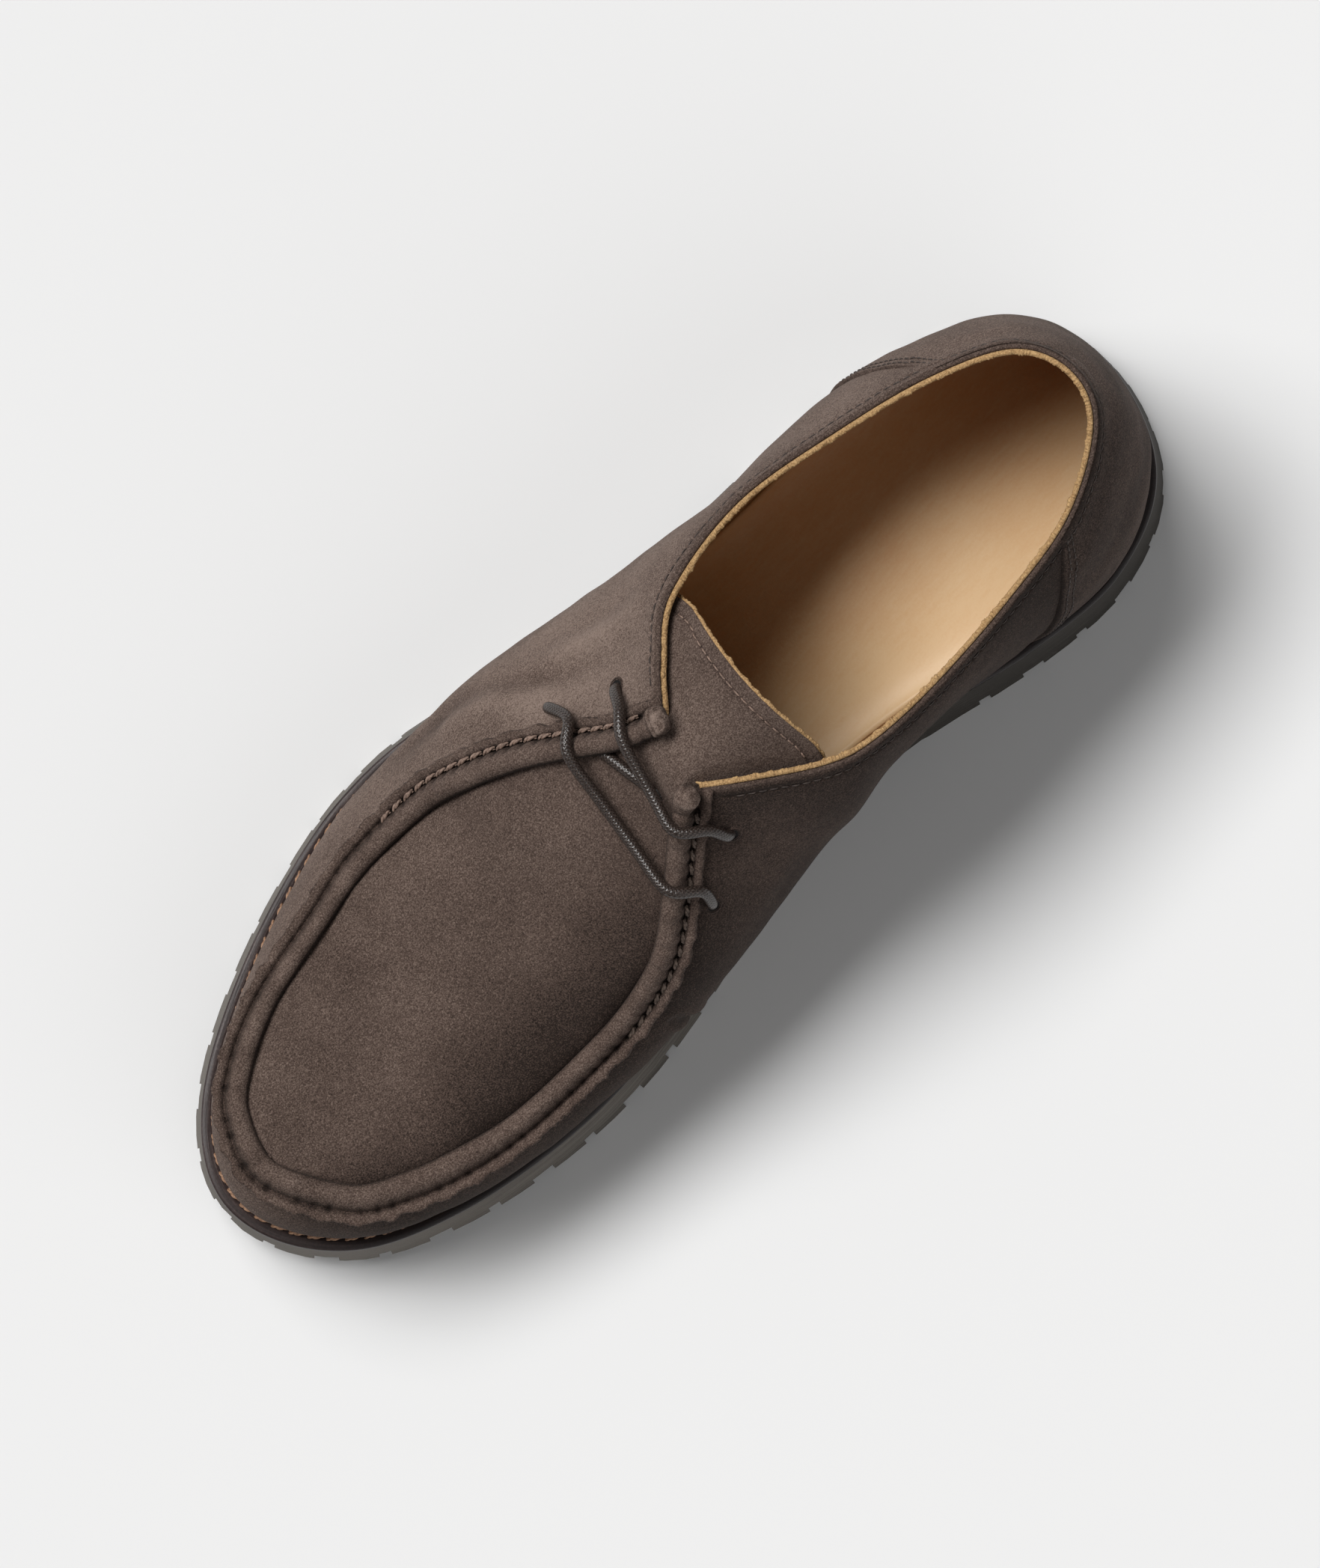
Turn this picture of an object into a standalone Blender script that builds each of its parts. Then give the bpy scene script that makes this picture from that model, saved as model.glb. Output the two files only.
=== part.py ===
"""Right moc toe shoe: lug outsole, welt, hollow upper with a rolled moc seam, apron with tongue,
heel counter, insole and two lace bars. Metres, +X to the toe, +Y to the inner side, +Z up."""

import bpy
import bmesh
import math
from mathutils import Matrix, Vector

# Driving sizes of the last and the sole
LAST_LENGTH = 0.301
SOLE_OVERHANG = 0.0012
LENGTH = LAST_LENGTH + 2 * SOLE_OVERHANG
BALL_WIDTH = 0.105
INSTEP_HEIGHT = 0.103
COLLAR_HEIGHT = 0.1
HEEL_HEIGHT = 0.0311
FOREFOOT_HEIGHT = 0.0173
TOE_SPRING = 0.0109
ARCH_HEIGHT = 0.0102

# Wall, plate and cord sizes
WELT_THICKNESS = 0.0035
WELT_WIDTH = 0.0135
WELT_REVEAL_SIDE = 0.0032
WELT_REVEAL_END = 0.005
WALL = 0.0024
APRON_THICKNESS = 0.002
COUNTER_THICKNESS = 0.0014
INSOLE_THICKNESS = 0.003
LACE_DIAMETER = 0.0028
PIECE_GAP = 0.0003

# How far the curve of the wall runs upright at its foot and at its top, as shares of its rise
LOW_HANDLE = 0.38
HIGH_HANDLE = 0.2

# How far the sole's side flares out from the welt to the ground
FLARE_SIDE = 0.004
FLARE_END = 0.0022

# Heel block and tread
BREAST_ALONG = 0.277
BREAST_SKEW = 0.0135
BREAST_SLOPE = 0.0025
BREAST_REACH = 0.14
FOREPART_ALONG = 0.481
SPRING_ALONG = 0.745
SPRING_POWER = 1.15
LUG_PITCH = 0.0147
LUG_GROOVE_WIDE = 0.0062
LUG_GROOVE_NARROW = 0.0032
LUG_DEPTH = 0.0042
LUG_REACH = 0.014
BAR_GROOVE = 0.0056
BAR_DEPTH = 0.0036
BAR_EDGE = 0.0195

# The rolled seam, measured inward and up from the stitched groove
STRIP_WIDTH = 0.0028
STRIP_STEP = 0.0013
ROLL_WIDTH = 0.0064
ROLL_HEIGHT = 0.0046
ROLL_UNDERSIDE = 0.0011
SEAM_RAMP = 0.0075
CORNER_ROLL = 0.12

# Where the wall ends under its rim, below the top as shares of the wall
CREST_PLAIN = 0.02
CREST_ROLLED = 0.075

# Counter overlay, as shares of the outline at its foot and its top
COUNTER_FOOT = 0.186
COUNTER_TOP = 0.113
COUNTER_ROWS = 8
COUNTER_COLUMNS = 22

# Apron and tongue: how far its flanks reach down the wall, as shares of the wall
TUCK_VAMP = 0.06
TUCK_FACING = 0.2
TONGUE_ALONG_INNER = 0.405
TONGUE_ALONG_OUTER = 0.39
TONGUE_HOLLOW = 0.003
TONGUE_CLEAR = 0.0009
RIM_ROUND = 0.0012

# Mesh counts
RING_COLUMNS = 84
WALL_ROWS = 6
SOLE_STATIONS = 54
SOLE_COLUMNS = 6
APRON_COLUMNS = 9
APRON_SECTIONS = 22
TONGUE_SECTIONS = 5
LACE_POINTS = 20
LACE_EASING = 3

# Ground edge of the sole: shares of LENGTH and BALL_WIDTH, outer side negative
OUTLINE_COLUMNS = ("along", "outer", "inner")
OUTLINE = (
    (0.0, 0.062, 0.062),
    (0.04, -0.192, 0.36),
    (0.125, -0.32, 0.47),
    (0.22, -0.352, 0.449),
    (0.33, -0.365, 0.372),
    (0.42, -0.39, 0.345),
    (0.5, -0.433, 0.376),
    (0.62, -0.52, 0.447),
    (0.7, -0.528, 0.469),
    (0.78, -0.483, 0.453),
    (0.87, -0.392, 0.392),
    (0.95, -0.262, 0.272),
    (1.0, -0.012, -0.012),
)

# Height of the joint between welt and upper: shares of the heel's rise and of the toe spring
JOINT_COLUMNS = ("along", "rise", "spring")
JOINT = (
    (0.0, 1.01, 0.0),
    (0.19, 0.74, 0.0),
    (0.303, 0.46, 0.0),
    (0.408, 0.16, 0.0),
    (0.513, 0.0, 0.0),
    (0.665, 0.0, 0.06),
    (0.79, 0.0, 0.34),
    (0.892, 0.0, 0.68),
    (1.0, 0.0, 1.03),
)

# Top line of the collar, from the outer facing corner round the heel to the inner facing corner.
# foot: place on the sole outline, negative on the outer side; along, across and height: the top
# edge; low and high: how far the wall's belly stands out beside its foot and below its top.
WALL_COLUMNS = ("foot", "along", "across", "height", "low", "high")
COLLAR = (
    (-0.468, 0.47, -0.112, 0.99, 0.19, 0.22),
    (-0.43, 0.442, -0.17, 0.975, 0.16, 0.17),
    (-0.388, 0.392, -0.262, 0.93, 0.105, 0.115),
    (-0.3, 0.3, -0.302, 0.852, 0.055, 0.045),
    (-0.2, 0.2, -0.252, 0.825, 0.086, 0.062),
    (-0.115, 0.118, -0.182, 0.893, 0.058, 0.052),
    (-0.035, 0.057, -0.085, 0.968, 0.056, 0.04),
    (0.0, 0.037, 0.048, 0.997, 0.053, 0.037),
    (0.035, 0.055, 0.18, 0.975, 0.056, 0.04),
    (0.115, 0.122, 0.288, 0.912, 0.065, 0.064),
    (0.2, 0.205, 0.324, 0.858, 0.078, 0.066),
    (0.3, 0.298, 0.338, 0.876, 0.098, 0.08),
    (0.37, 0.365, 0.326, 0.925, 0.125, 0.085),
    (0.42, 0.405, 0.286, 0.957, 0.165, 0.145),
    (0.46, 0.452, 0.2, 0.985, 0.2, 0.2),
    (0.485, 0.484, 0.136, 0.992, 0.215, 0.25),
)

# Stitched groove of the moc seam, from the inner facing corner round the toe to the outer one
SEAM = (
    (0.485, 0.484, 0.136, 0.992, 0.215, 0.25),
    (0.52, 0.519, 0.2, 0.87, 0.19, 0.21),
    (0.555, 0.553, 0.266, 0.787, 0.155, 0.175),
    (0.598, 0.595, 0.338, 0.68, 0.108, 0.125),
    (0.651, 0.651, 0.37, 0.565, 0.076, 0.086),
    (0.718, 0.708, 0.373, 0.502, 0.057, 0.057),
    (0.79, 0.777, 0.362, 0.474, 0.048, 0.048),
    (0.85, 0.833, 0.334, 0.462, 0.043, 0.04),
    (0.91, 0.886, 0.278, 0.464, 0.038, 0.034),
    (0.965, 0.93, 0.187, 0.477, 0.03, 0.028),
    (1.0, 0.96, -0.01, 0.489, 0.026, 0.026),
    (-0.965, 0.936, -0.15, 0.483, 0.03, 0.028),
    (-0.925, 0.905, -0.247, 0.468, 0.038, 0.032),
    (-0.867, 0.854, -0.324, 0.46, 0.043, 0.036),
    (-0.797, 0.784, -0.384, 0.472, 0.043, 0.04),
    (-0.728, 0.728, -0.408, 0.496, 0.052, 0.048),
    (-0.651, 0.651, -0.401, 0.547, 0.067, 0.067),
    (-0.598, 0.595, -0.356, 0.653, 0.09, 0.115),
    (-0.561, 0.56, -0.282, 0.733, 0.124, 0.17),
    (-0.53, 0.533, -0.218, 0.79, 0.15, 0.21),
    (-0.495, 0.498, -0.14, 0.893, 0.18, 0.215),
    (-0.468, 0.47, -0.112, 0.99, 0.19, 0.22),
)

# Centre line of apron and tongue: height as a share of INSTEP_HEIGHT
CROWN_COLUMNS = ("along", "height")
CROWN = (
    (0.39, 1.05),
    (0.432, 1.014),
    (0.47, 0.975),
    (0.5, 0.905),
    (0.532, 0.84),
    (0.575, 0.768),
    (0.62, 0.71),
    (0.672, 0.645),
    (0.74, 0.572),
    (0.8, 0.525),
    (0.86, 0.498),
    (0.95, 0.488),
)

# Lace bars: name, place of the inner and the outer eyelet along the shoe, and their share up the wall
LACES = (
    ("lace_bar_lower", 0.538, 0.519, 0.88),
    ("lace_bar_upper", 0.492, 0.473, 0.86),
)

COLOURS = {
    "suede": (0.08, 0.062, 0.05),
    "rubber": (0.1, 0.1, 0.085),
    "welt": (0.05, 0.032, 0.03),
    "tan": (0.55, 0.36, 0.18),
    "cord": (0.03, 0.02, 0.016),
}


def clear_scene():
    for thing in list(bpy.data.objects):
        bpy.data.objects.remove(thing)


def make_collection(name):
    collection = bpy.data.collections.new(name)
    bpy.context.scene.collection.children.link(collection)
    return collection


def make_material(name, colour, roughness):
    material = bpy.data.materials.new(name)
    material.use_nodes = True
    shader = material.node_tree.nodes["Principled BSDF"]
    shader.inputs["Base Color"].default_value = (*colour, 1.0)
    shader.inputs["Roughness"].default_value = roughness
    shader.inputs["Metallic"].default_value = 0.0
    return material


def slopes(keys, values):
    """Slope of a smooth curve through the values at each key."""
    count = len(keys)
    result = []
    for index in range(count):
        low = max(index - 1, 0)
        high = min(index + 1, count - 1)
        result.append((values[high] - values[low]) / (keys[high] - keys[low]))
    return result


def smooth(keys, values, place):
    """Value of the smooth curve at a place between its keys."""
    place = min(max(place, keys[0]), keys[-1])
    tangents = slopes(keys, values)
    span = 0
    while span < len(keys) - 2 and place > keys[span + 1]:
        span += 1
    width = keys[span + 1] - keys[span]
    t = (place - keys[span]) / width
    start = (2 * t ** 3 - 3 * t ** 2 + 1) * values[span] + (t ** 3 - 2 * t ** 2 + t) * width * tangents[span]
    end = (3 * t ** 2 - 2 * t ** 3) * values[span + 1] + (t ** 3 - t ** 2) * width * tangents[span + 1]
    return start + end


def column(table, names, name):
    return [row[names.index(name)] for row in table]


def turn_of(foot):
    """Angle round the sole for a signed share: 0 at the heel, pi at the toe, more on the inner side."""
    angle = math.acos(min(max(1 - 2 * abs(foot), -1.0), 1.0))
    return angle if foot < 0 else 2 * math.pi - angle


def along_of(turn):
    return (1 - math.cos(turn)) / 2


def outline_table():
    """Keys and across values of the closed outline, with a little overlap past the heel."""
    keys = []
    values = []
    for row in OUTLINE:
        keys.append(math.acos(1 - 2 * row[0]))
        values.append(row[1])
    for row in reversed(OUTLINE[:-1]):
        keys.append(2 * math.pi - math.acos(1 - 2 * row[0]))
        values.append(row[2])
    before = (keys[-2] - 2 * math.pi, values[-2])
    after = (keys[1] + 2 * math.pi, values[1])
    return [before[0]] + keys + [after[0]], [before[1]] + values + [after[1]]


OUTLINE_KEYS, OUTLINE_ACROSS = outline_table()
WIDEST_OUTER = min(column(OUTLINE, OUTLINE_COLUMNS, "outer"))
WIDEST_INNER = max(column(OUTLINE, OUTLINE_COLUMNS, "inner"))
CENTRE_ACROSS = (WIDEST_OUTER + WIDEST_INNER) / 2 * BALL_WIDTH


def place_x(along, length=LAST_LENGTH):
    return (along - 0.5) * length


def place_y(across):
    return across * BALL_WIDTH - CENTRE_ACROSS


def ground_point(turn):
    turn = turn % (2 * math.pi)
    return Vector((place_x(along_of(turn), LENGTH), place_y(smooth(OUTLINE_KEYS, OUTLINE_ACROSS, turn)), 0.0))


def outward(turn):
    """Level direction that points out of the sole at this turn."""
    step = 0.02
    tangent = ground_point(turn + step) - ground_point(turn - step)
    return Vector((tangent.y, -tangent.x, 0.0)).normalized()


def flare(turn):
    return FLARE_END + (FLARE_SIDE - FLARE_END) * math.sin(turn) ** 2


def foot_inset(turn):
    """Distance of the upper's foot inside the sole's ground edge."""
    return flare(turn) + WELT_REVEAL_END + (WELT_REVEAL_SIDE - WELT_REVEAL_END) * math.sin(turn) ** 2


def inset_point(turn, inset):
    return ground_point(turn) - outward(turn) * inset


def joint_height(x):
    """Height of the welt's top under the upper."""
    along = x / LENGTH + 0.5
    keys = column(JOINT, JOINT_COLUMNS, "along")
    rise = smooth(keys, column(JOINT, JOINT_COLUMNS, "rise"), along)
    spring = smooth(keys, column(JOINT, JOINT_COLUMNS, "spring"), along)
    return FOREFOOT_HEIGHT + rise * (HEEL_HEIGHT - FOREFOOT_HEIGHT) + spring * TOE_SPRING


def sole_bottom(along, on_heel):
    if on_heel:
        return 0.0
    if along < FOREPART_ALONG:
        share = (along - BREAST_ALONG) / (FOREPART_ALONG - BREAST_ALONG)
        return ARCH_HEIGHT * (1 - 0.55 * max(share, 0.0) ** 1.3)
    if along < SPRING_ALONG:
        return 0.0
    share = (along - SPRING_ALONG) / (1 - SPRING_ALONG)
    return TOE_SPRING * share ** SPRING_POWER


def mesh_object(name, bm, collection, material, rounded=True):
    bmesh.ops.recalc_face_normals(bm, faces=bm.faces)
    if bm.calc_volume(signed=True) < 0:
        bmesh.ops.reverse_faces(bm, faces=bm.faces)
    mesh = bpy.data.meshes.new(name)
    bm.to_mesh(mesh)
    bm.free()
    if rounded:
        mesh.shade_smooth()
        mesh.set_sharp_from_angle(angle=math.radians(35))
    item = bpy.data.objects.new(name, mesh)
    collection.objects.link(item)
    if material:
        mesh.materials.append(material)
    return item


def ring_solid(name, loops, collection, material):
    """Closed solid from loops of points that close on each other both ways."""
    bm = bmesh.new()
    rows = [[bm.verts.new(point) for point in loop] for loop in loops]
    count = len(rows)
    for i in range(count):
        here = rows[i]
        there = rows[(i + 1) % count]
        for j in range(len(here)):
            k = (j + 1) % len(here)
            bm.faces.new((here[j], there[j], there[k], here[k]))
    return mesh_object(name, bm, collection, material)


def sheet_solid(name, top, bottom, collection, material, rounded=True):
    """Closed solid between an upper and a lower sheet with the same rows and columns."""
    bm = bmesh.new()
    upper = [[bm.verts.new(point) for point in row] for row in top]
    lower = [[bm.verts.new(point) for point in row] for row in bottom]
    last_row = len(top) - 1
    last_column = len(top[0]) - 1
    for i in range(last_row):
        for j in range(last_column):
            bm.faces.new((upper[i][j], upper[i + 1][j], upper[i + 1][j + 1], upper[i][j + 1]))
            bm.faces.new((lower[i][j], lower[i][j + 1], lower[i + 1][j + 1], lower[i + 1][j]))
    for i in range(last_row):
        for j in (0, last_column):
            bm.faces.new((upper[i][j], lower[i][j], lower[i + 1][j], upper[i + 1][j]))
    for j in range(last_column):
        for i in (0, last_row):
            bm.faces.new((upper[i][j], upper[i][j + 1], lower[i][j + 1], lower[i][j]))
    return mesh_object(name, bm, collection, material, rounded)


def breast_skew(along):
    """Extra forward reach of a cross section on the inner side, largest at the heel breast."""
    distance = min(abs(along - BREAST_ALONG) / BREAST_REACH, 1.0)
    return BREAST_SKEW * (1 - distance ** 2) ** 2


def sole_stations():
    """Places along the sole of its cross sections, with a pair at each step of its underside."""
    places = []
    for index in range(SOLE_STATIONS + 1):
        along = along_of(math.pi * index / SOLE_STATIONS)
        places.append((along, along < BREAST_ALONG))
    step = BREAST_SLOPE / LENGTH
    for edge in (BREAST_ALONG, FOREPART_ALONG):
        places = [place for place in places if abs(place[0] - edge) > 2.2 * step]
    places += [(BREAST_ALONG, True), (BREAST_ALONG + step, False)]
    places += [(FOREPART_ALONG - step / 2, False), (FOREPART_ALONG, False)]
    return sorted(places)[1:-1]


def side_turn(along, outer):
    angle = math.acos(1 - 2 * along)
    return angle if outer else 2 * math.pi - angle


def sole_section(along, inset, height):
    """Points straight across the sole, from the outer edge to the inner edge."""
    skew = breast_skew(along) / LENGTH
    start = inset_point(side_turn(along, True), inset(side_turn(along, True)))
    end = inset_point(side_turn(min(along + skew, 0.9999), False), inset(side_turn(along, False)))
    points = []
    for index in range(SOLE_COLUMNS + 1):
        point = start.lerp(end, index / SOLE_COLUMNS)
        point.z = height(point, along)
        points.append(point)
    return points


def build_outsole(parts, cutters, material):
    """Rubber sole with arch, heel block, toe spring and a lug tread."""
    top = []
    bottom = []
    for along, on_heel in sole_stations():
        under = sole_bottom(along, on_heel)
        top.append(sole_section(along, flare, lambda p, a: joint_height(p.x) - WELT_THICKNESS - PIECE_GAP))
        bottom.append(sole_section(along, lambda turn: 0.0, lambda p, a: under))
    sole = sheet_solid("outsole", top, bottom, parts, material, rounded=False)
    cutter = tread_cutter(cutters)
    cut = sole.modifiers.new("tread", "BOOLEAN")
    cut.operation = "DIFFERENCE"
    cut.solver = "EXACT"
    cut.object = cutter
    return sole


def add_box(bm, centre, size, direction):
    """Box in a cutter mesh: its own X points along the direction."""
    angle = math.atan2(direction.y, direction.x)
    matrix = Matrix.Translation(centre) @ Matrix.Rotation(angle, 4, "Z") @ Matrix.Diagonal((*size, 1.0))
    bmesh.ops.create_cube(bm, size=1.0, matrix=matrix)


def ground_height(along):
    on_heel = along < BREAST_ALONG
    return sole_bottom(along, on_heel)


def edge_turns():
    """Turns round the sole that lie one lug pitch apart, walked along the outline."""
    turns = []
    steps = 1600
    walked = LUG_PITCH / 2
    last = ground_point(0.0)
    for index in range(1, steps):
        turn = 2 * math.pi * index / steps
        point = ground_point(turn)
        walked += (point - last).length
        last = point
        if walked >= LUG_PITCH:
            walked -= LUG_PITCH
            turns.append(turn)
    return turns


def on_block(along, inner):
    """True where the tread touches the ground or the toe, clear of the arch's edges."""
    skew = breast_skew(along) / LENGTH if inner else 0.0
    margin = LUG_GROOVE_WIDE / LENGTH
    return along - skew < BREAST_ALONG - margin or along > FOREPART_ALONG + margin


def tread_cutter(cutters):
    """Grooves between the lugs round the edge, and between the bars in the middle."""
    bm = bmesh.new()
    for index, turn in enumerate(edge_turns()):
        along = along_of(turn)
        if not on_block(along, turn > math.pi):
            continue
        width = LUG_GROOVE_WIDE if index % 2 else LUG_GROOVE_NARROW
        direction = outward(turn)
        level = ground_height(along) + LUG_DEPTH
        centre = ground_point(turn) - direction * (LUG_REACH / 2 - LUG_DEPTH)
        centre.z = level - LUG_DEPTH * 2
        add_box(bm, centre, (LUG_REACH + LUG_DEPTH, width, LUG_DEPTH * 4), direction)
    rows = int(LENGTH / LUG_PITCH)
    for row in range(2, rows - 1):
        along = row * LUG_PITCH / LENGTH
        outer = ground_point(side_turn(along, True))
        inner = ground_point(side_turn(along, False))
        width = (inner - outer).length - 2 * BAR_EDGE
        if width < LUG_PITCH or not on_block(along, False):
            continue
        centre = outer.lerp(inner, 0.5)
        centre.z = ground_height(along) + BAR_DEPTH - LUG_DEPTH * 2
        add_box(bm, centre, (BAR_GROOVE, width, LUG_DEPTH * 4), Vector((1.0, 0.0, 0.0)))
    cutter = mesh_object("tread_cutter", bm, cutters, None, rounded=False)
    cutter.hide_render = True
    cutter.display_type = "WIRE"
    return cutter


def welt_loop(turn):
    """Cross section of the welt strip at this turn."""
    edge = flare(turn)
    loop = []
    for inset, lift in ((edge, -WELT_THICKNESS), (edge, 0.0), (edge + WELT_WIDTH, 0.0), (edge + WELT_WIDTH, -WELT_THICKNESS)):
        point = inset_point(turn, inset)
        point.z = joint_height(point.x) + lift
        loop.append(point)
    return loop


def build_welt(parts, material):
    """Strip between sole and upper, flush with the sole's edge."""
    turns = [2 * math.pi * index / RING_COLUMNS for index in range(RING_COLUMNS)]
    return ring_solid("welt", [welt_loop(turn) for turn in turns], parts, material)


def wall_values(table, key):
    """Row values of a wall table at a place between its rows, counted in rows."""
    keys = list(range(len(table)))
    values = [turn_of(row[0]) for row in table]
    for index in range(1, len(values)):
        while values[index] < values[index - 1] - math.pi:
            values[index] += 2 * math.pi
        while values[index] > values[index - 1] + math.pi:
            values[index] -= 2 * math.pi
    result = {"turn": smooth(keys, values, key)}
    for name in WALL_COLUMNS[1:]:
        result[name] = smooth(keys, column(table, WALL_COLUMNS, name), key)
    return result


def rise_scale(along):
    """Full height of the upper: the collar's behind, the instep's in front."""
    share = min(max((along - 0.15) / 0.25, 0.0), 1.0)
    share = share * share * (3 - 2 * share)
    return COLLAR_HEIGHT + (INSTEP_HEIGHT - COLLAR_HEIGHT) * share


class Rib:
    """One upright section of the wall: its foot, its top and the direction out of the shoe."""

    def __init__(self, table, key):
        row = wall_values(table, key)
        turn = row["turn"]
        self.table = table
        self.key = key
        self.turn = turn
        self.out = outward(turn)
        self.foot = inset_point(turn, foot_inset(turn))
        self.foot.z = joint_height(self.foot.x) + PIECE_GAP
        height = row["height"] * rise_scale(row["along"])
        self.top = Vector((place_x(row["along"]), place_y(row["across"]), height))
        self.low = row["low"] * BALL_WIDTH
        self.high = row["high"] * BALL_WIDTH

    def outer(self, share):
        """Point on the wall's outer face, from 0 at the foot to 1 at the top."""
        rise = self.top.z - self.foot.z
        first = self.foot + self.out * self.low + Vector((0, 0, LOW_HANDLE * rise))
        second = self.top + self.out * self.high - Vector((0, 0, HIGH_HANDLE * rise))
        rest = 1 - share
        return (self.foot * rest ** 3 + first * 3 * rest ** 2 * share
                + second * 3 * rest * share ** 2 + self.top * share ** 3)


def wall_point(table, key, share):
    return Rib(table, key).outer(share)


def wall_normal(table, key, share):
    """Direction out of the wall's outer face."""
    last = len(table) - 1
    step = 0.06
    before = wall_point(table, max(key - step, 0.0), share)
    after = wall_point(table, min(key + step, last), share)
    below = wall_point(table, key, max(share - 0.02, 0.0))
    above = wall_point(table, key, min(share + 0.02, 1.0))
    normal = (above - below).cross(after - before)
    if normal.dot(Rib(table, key).out) < 0:
        normal = -normal
    return normal.normalized()


def seam_weight(key, table):
    """1 along the rolled seam, falling to 0 on the collar side of each facing corner."""
    if table is COLLAR:
        return 0.0
    last = len(table) - 1
    from_start = (wall_point(table, key, 1.0) - wall_point(table, 0, 1.0)).length
    from_end = (wall_point(table, key, 1.0) - wall_point(table, last, 1.0)).length
    share = min(min(from_start, from_end) / SEAM_RAMP, 1.0)
    return CORNER_ROLL + (1 - CORNER_ROLL) * share * (2 - share)


def top_frame(table, key):
    """Inward and upward directions at the top line, square to it."""
    last = len(table) - 1
    step = 0.08
    before = wall_point(table, max(key - step, 0.0), 1.0)
    after = wall_point(table, min(key + step, last), 1.0)
    tangent = (after - before).normalized()
    inward = Vector((0, 0, 1)).cross(tangent)
    if inward.dot(Rib(table, key).out) > 0:
        inward = -inward
    inward = (inward - tangent * inward.dot(tangent)).normalized()
    up = tangent.cross(inward)
    if up.z < 0:
        up = -up
    return inward, up.normalized()


def seam_profile():
    """The rolled seam's outline: inward and up from the stitched groove, outside to inside."""
    profile = [
        (-STRIP_WIDTH, -0.0006),
        (-STRIP_WIDTH + 0.0002, -0.0006 + STRIP_STEP),
        (-0.0007, STRIP_STEP * 0.6),
        (0.0, 0.0),
        (0.0007, ROLL_HEIGHT * 0.5),
    ]
    for index in range(1, 5):
        angle = math.pi * (0.84 - 0.7 * index / 4)
        inward = ROLL_WIDTH * (0.53 + 0.47 * math.cos(angle))
        up = ROLL_UNDERSIDE + (ROLL_HEIGHT - ROLL_UNDERSIDE) * math.sin(angle) ** 0.7
        profile.append((inward, up))
    profile.append((ROLL_WIDTH, ROLL_UNDERSIDE + 0.0004))
    profile.append((ROLL_WIDTH - 0.0009, ROLL_UNDERSIDE))
    profile.append((WALL + 0.0003, ROLL_UNDERSIDE - 0.0002))
    return profile


def upper_loop(table, key):
    """Closed cross section of the upper's wall, with its rolled rim."""
    weight = seam_weight(key, table)
    inward, up = top_frame(table, key)
    crest = 1.0 - CREST_PLAIN - (CREST_ROLLED - CREST_PLAIN) * weight
    loop = []
    for row in range(WALL_ROWS + 1):
        loop.append(wall_point(table, key, crest * row / WALL_ROWS))
    top = wall_point(table, key, 1.0)
    profile = seam_profile()
    count = len(profile)
    inner_top = top - wall_normal(table, key, 0.98) * WALL
    for index, (offset, lift) in enumerate(profile):
        rolled = top + inward * offset + up * lift
        angle = math.pi * (index + 0.5) / count
        plain = top.lerp(inner_top, (1 - math.cos(angle)) / 2) + up * RIM_ROUND * (math.sin(angle) - 1)
        loop.append(plain.lerp(rolled, weight))
    for row in range(WALL_ROWS, -1, -1):
        share = 0.955 * row / WALL_ROWS
        loop.append(inner_wall(table, key, share, WALL))
    return loop


def inner_wall(table, key, share, depth):
    """Point a given depth inside the wall; the foot stays on the welt's level."""
    normal = wall_normal(table, key, share)
    if share < 0.2:
        level = Vector((normal.x, normal.y, 0.0)).normalized()
        normal = level.lerp(normal, share / 0.2).normalized()
    point = wall_point(table, key, share) - normal * depth
    if share == 0.0:
        point.z = joint_height(point.x) + PIECE_GAP
    return point


def ring_keys():
    """Evenly walked places on the seam and the collar, with both facing corners kept."""
    result = []
    for table, columns in ((SEAM, int(RING_COLUMNS * 0.6)), (COLLAR, int(RING_COLUMNS * 0.4))):
        last = len(table) - 1
        steps = 240
        lengths = [0.0]
        points = [wall_point(table, last * index / steps, 1.0) for index in range(steps + 1)]
        for index in range(steps):
            lengths.append(lengths[-1] + (points[index + 1] - points[index]).length)
        for index in range(columns):
            target = lengths[-1] * index / columns
            spot = 0
            while lengths[spot + 1] < target:
                spot += 1
            part = (target - lengths[spot]) / (lengths[spot + 1] - lengths[spot])
            result.append((table, last * (spot + part) / steps))
    return result


def build_upper(parts, material):
    """Hollow ring of vamp and quarters with a rolled seam, open on top and underneath."""
    loops = [upper_loop(table, key) for table, key in ring_keys()]
    return ring_solid("upper", loops, parts, material)


def branch_key(table, start, end, along):
    """Place on one branch of a wall table where its top line reaches this share of the length."""
    low = float(start)
    high = float(end)
    rising = wall_values(table, end)["along"] > wall_values(table, start)["along"]
    for _ in range(30):
        middle = (low + high) / 2
        if (wall_values(table, middle)["along"] < along) == rising:
            low = middle
        else:
            high = middle
    return (low + high) / 2


TOE_ROW = column(SEAM, WALL_COLUMNS, "foot").index(1.0)


def foot_key(foot):
    """Place on the collar table that stands at this signed share of the outline."""
    low = 0.0
    high = len(COLLAR) - 1.0
    goal = math.copysign(math.sqrt(abs(foot)), foot)
    for _ in range(30):
        middle = (low + high) / 2
        turn = wall_values(COLLAR, middle)["turn"]
        place = along_of(turn)
        signed = math.sqrt(place) * (-1 if 0 < turn % (2 * math.pi) < math.pi else 1)
        if signed < goal:
            low = middle
        else:
            high = middle
    return (low + high) / 2


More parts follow.
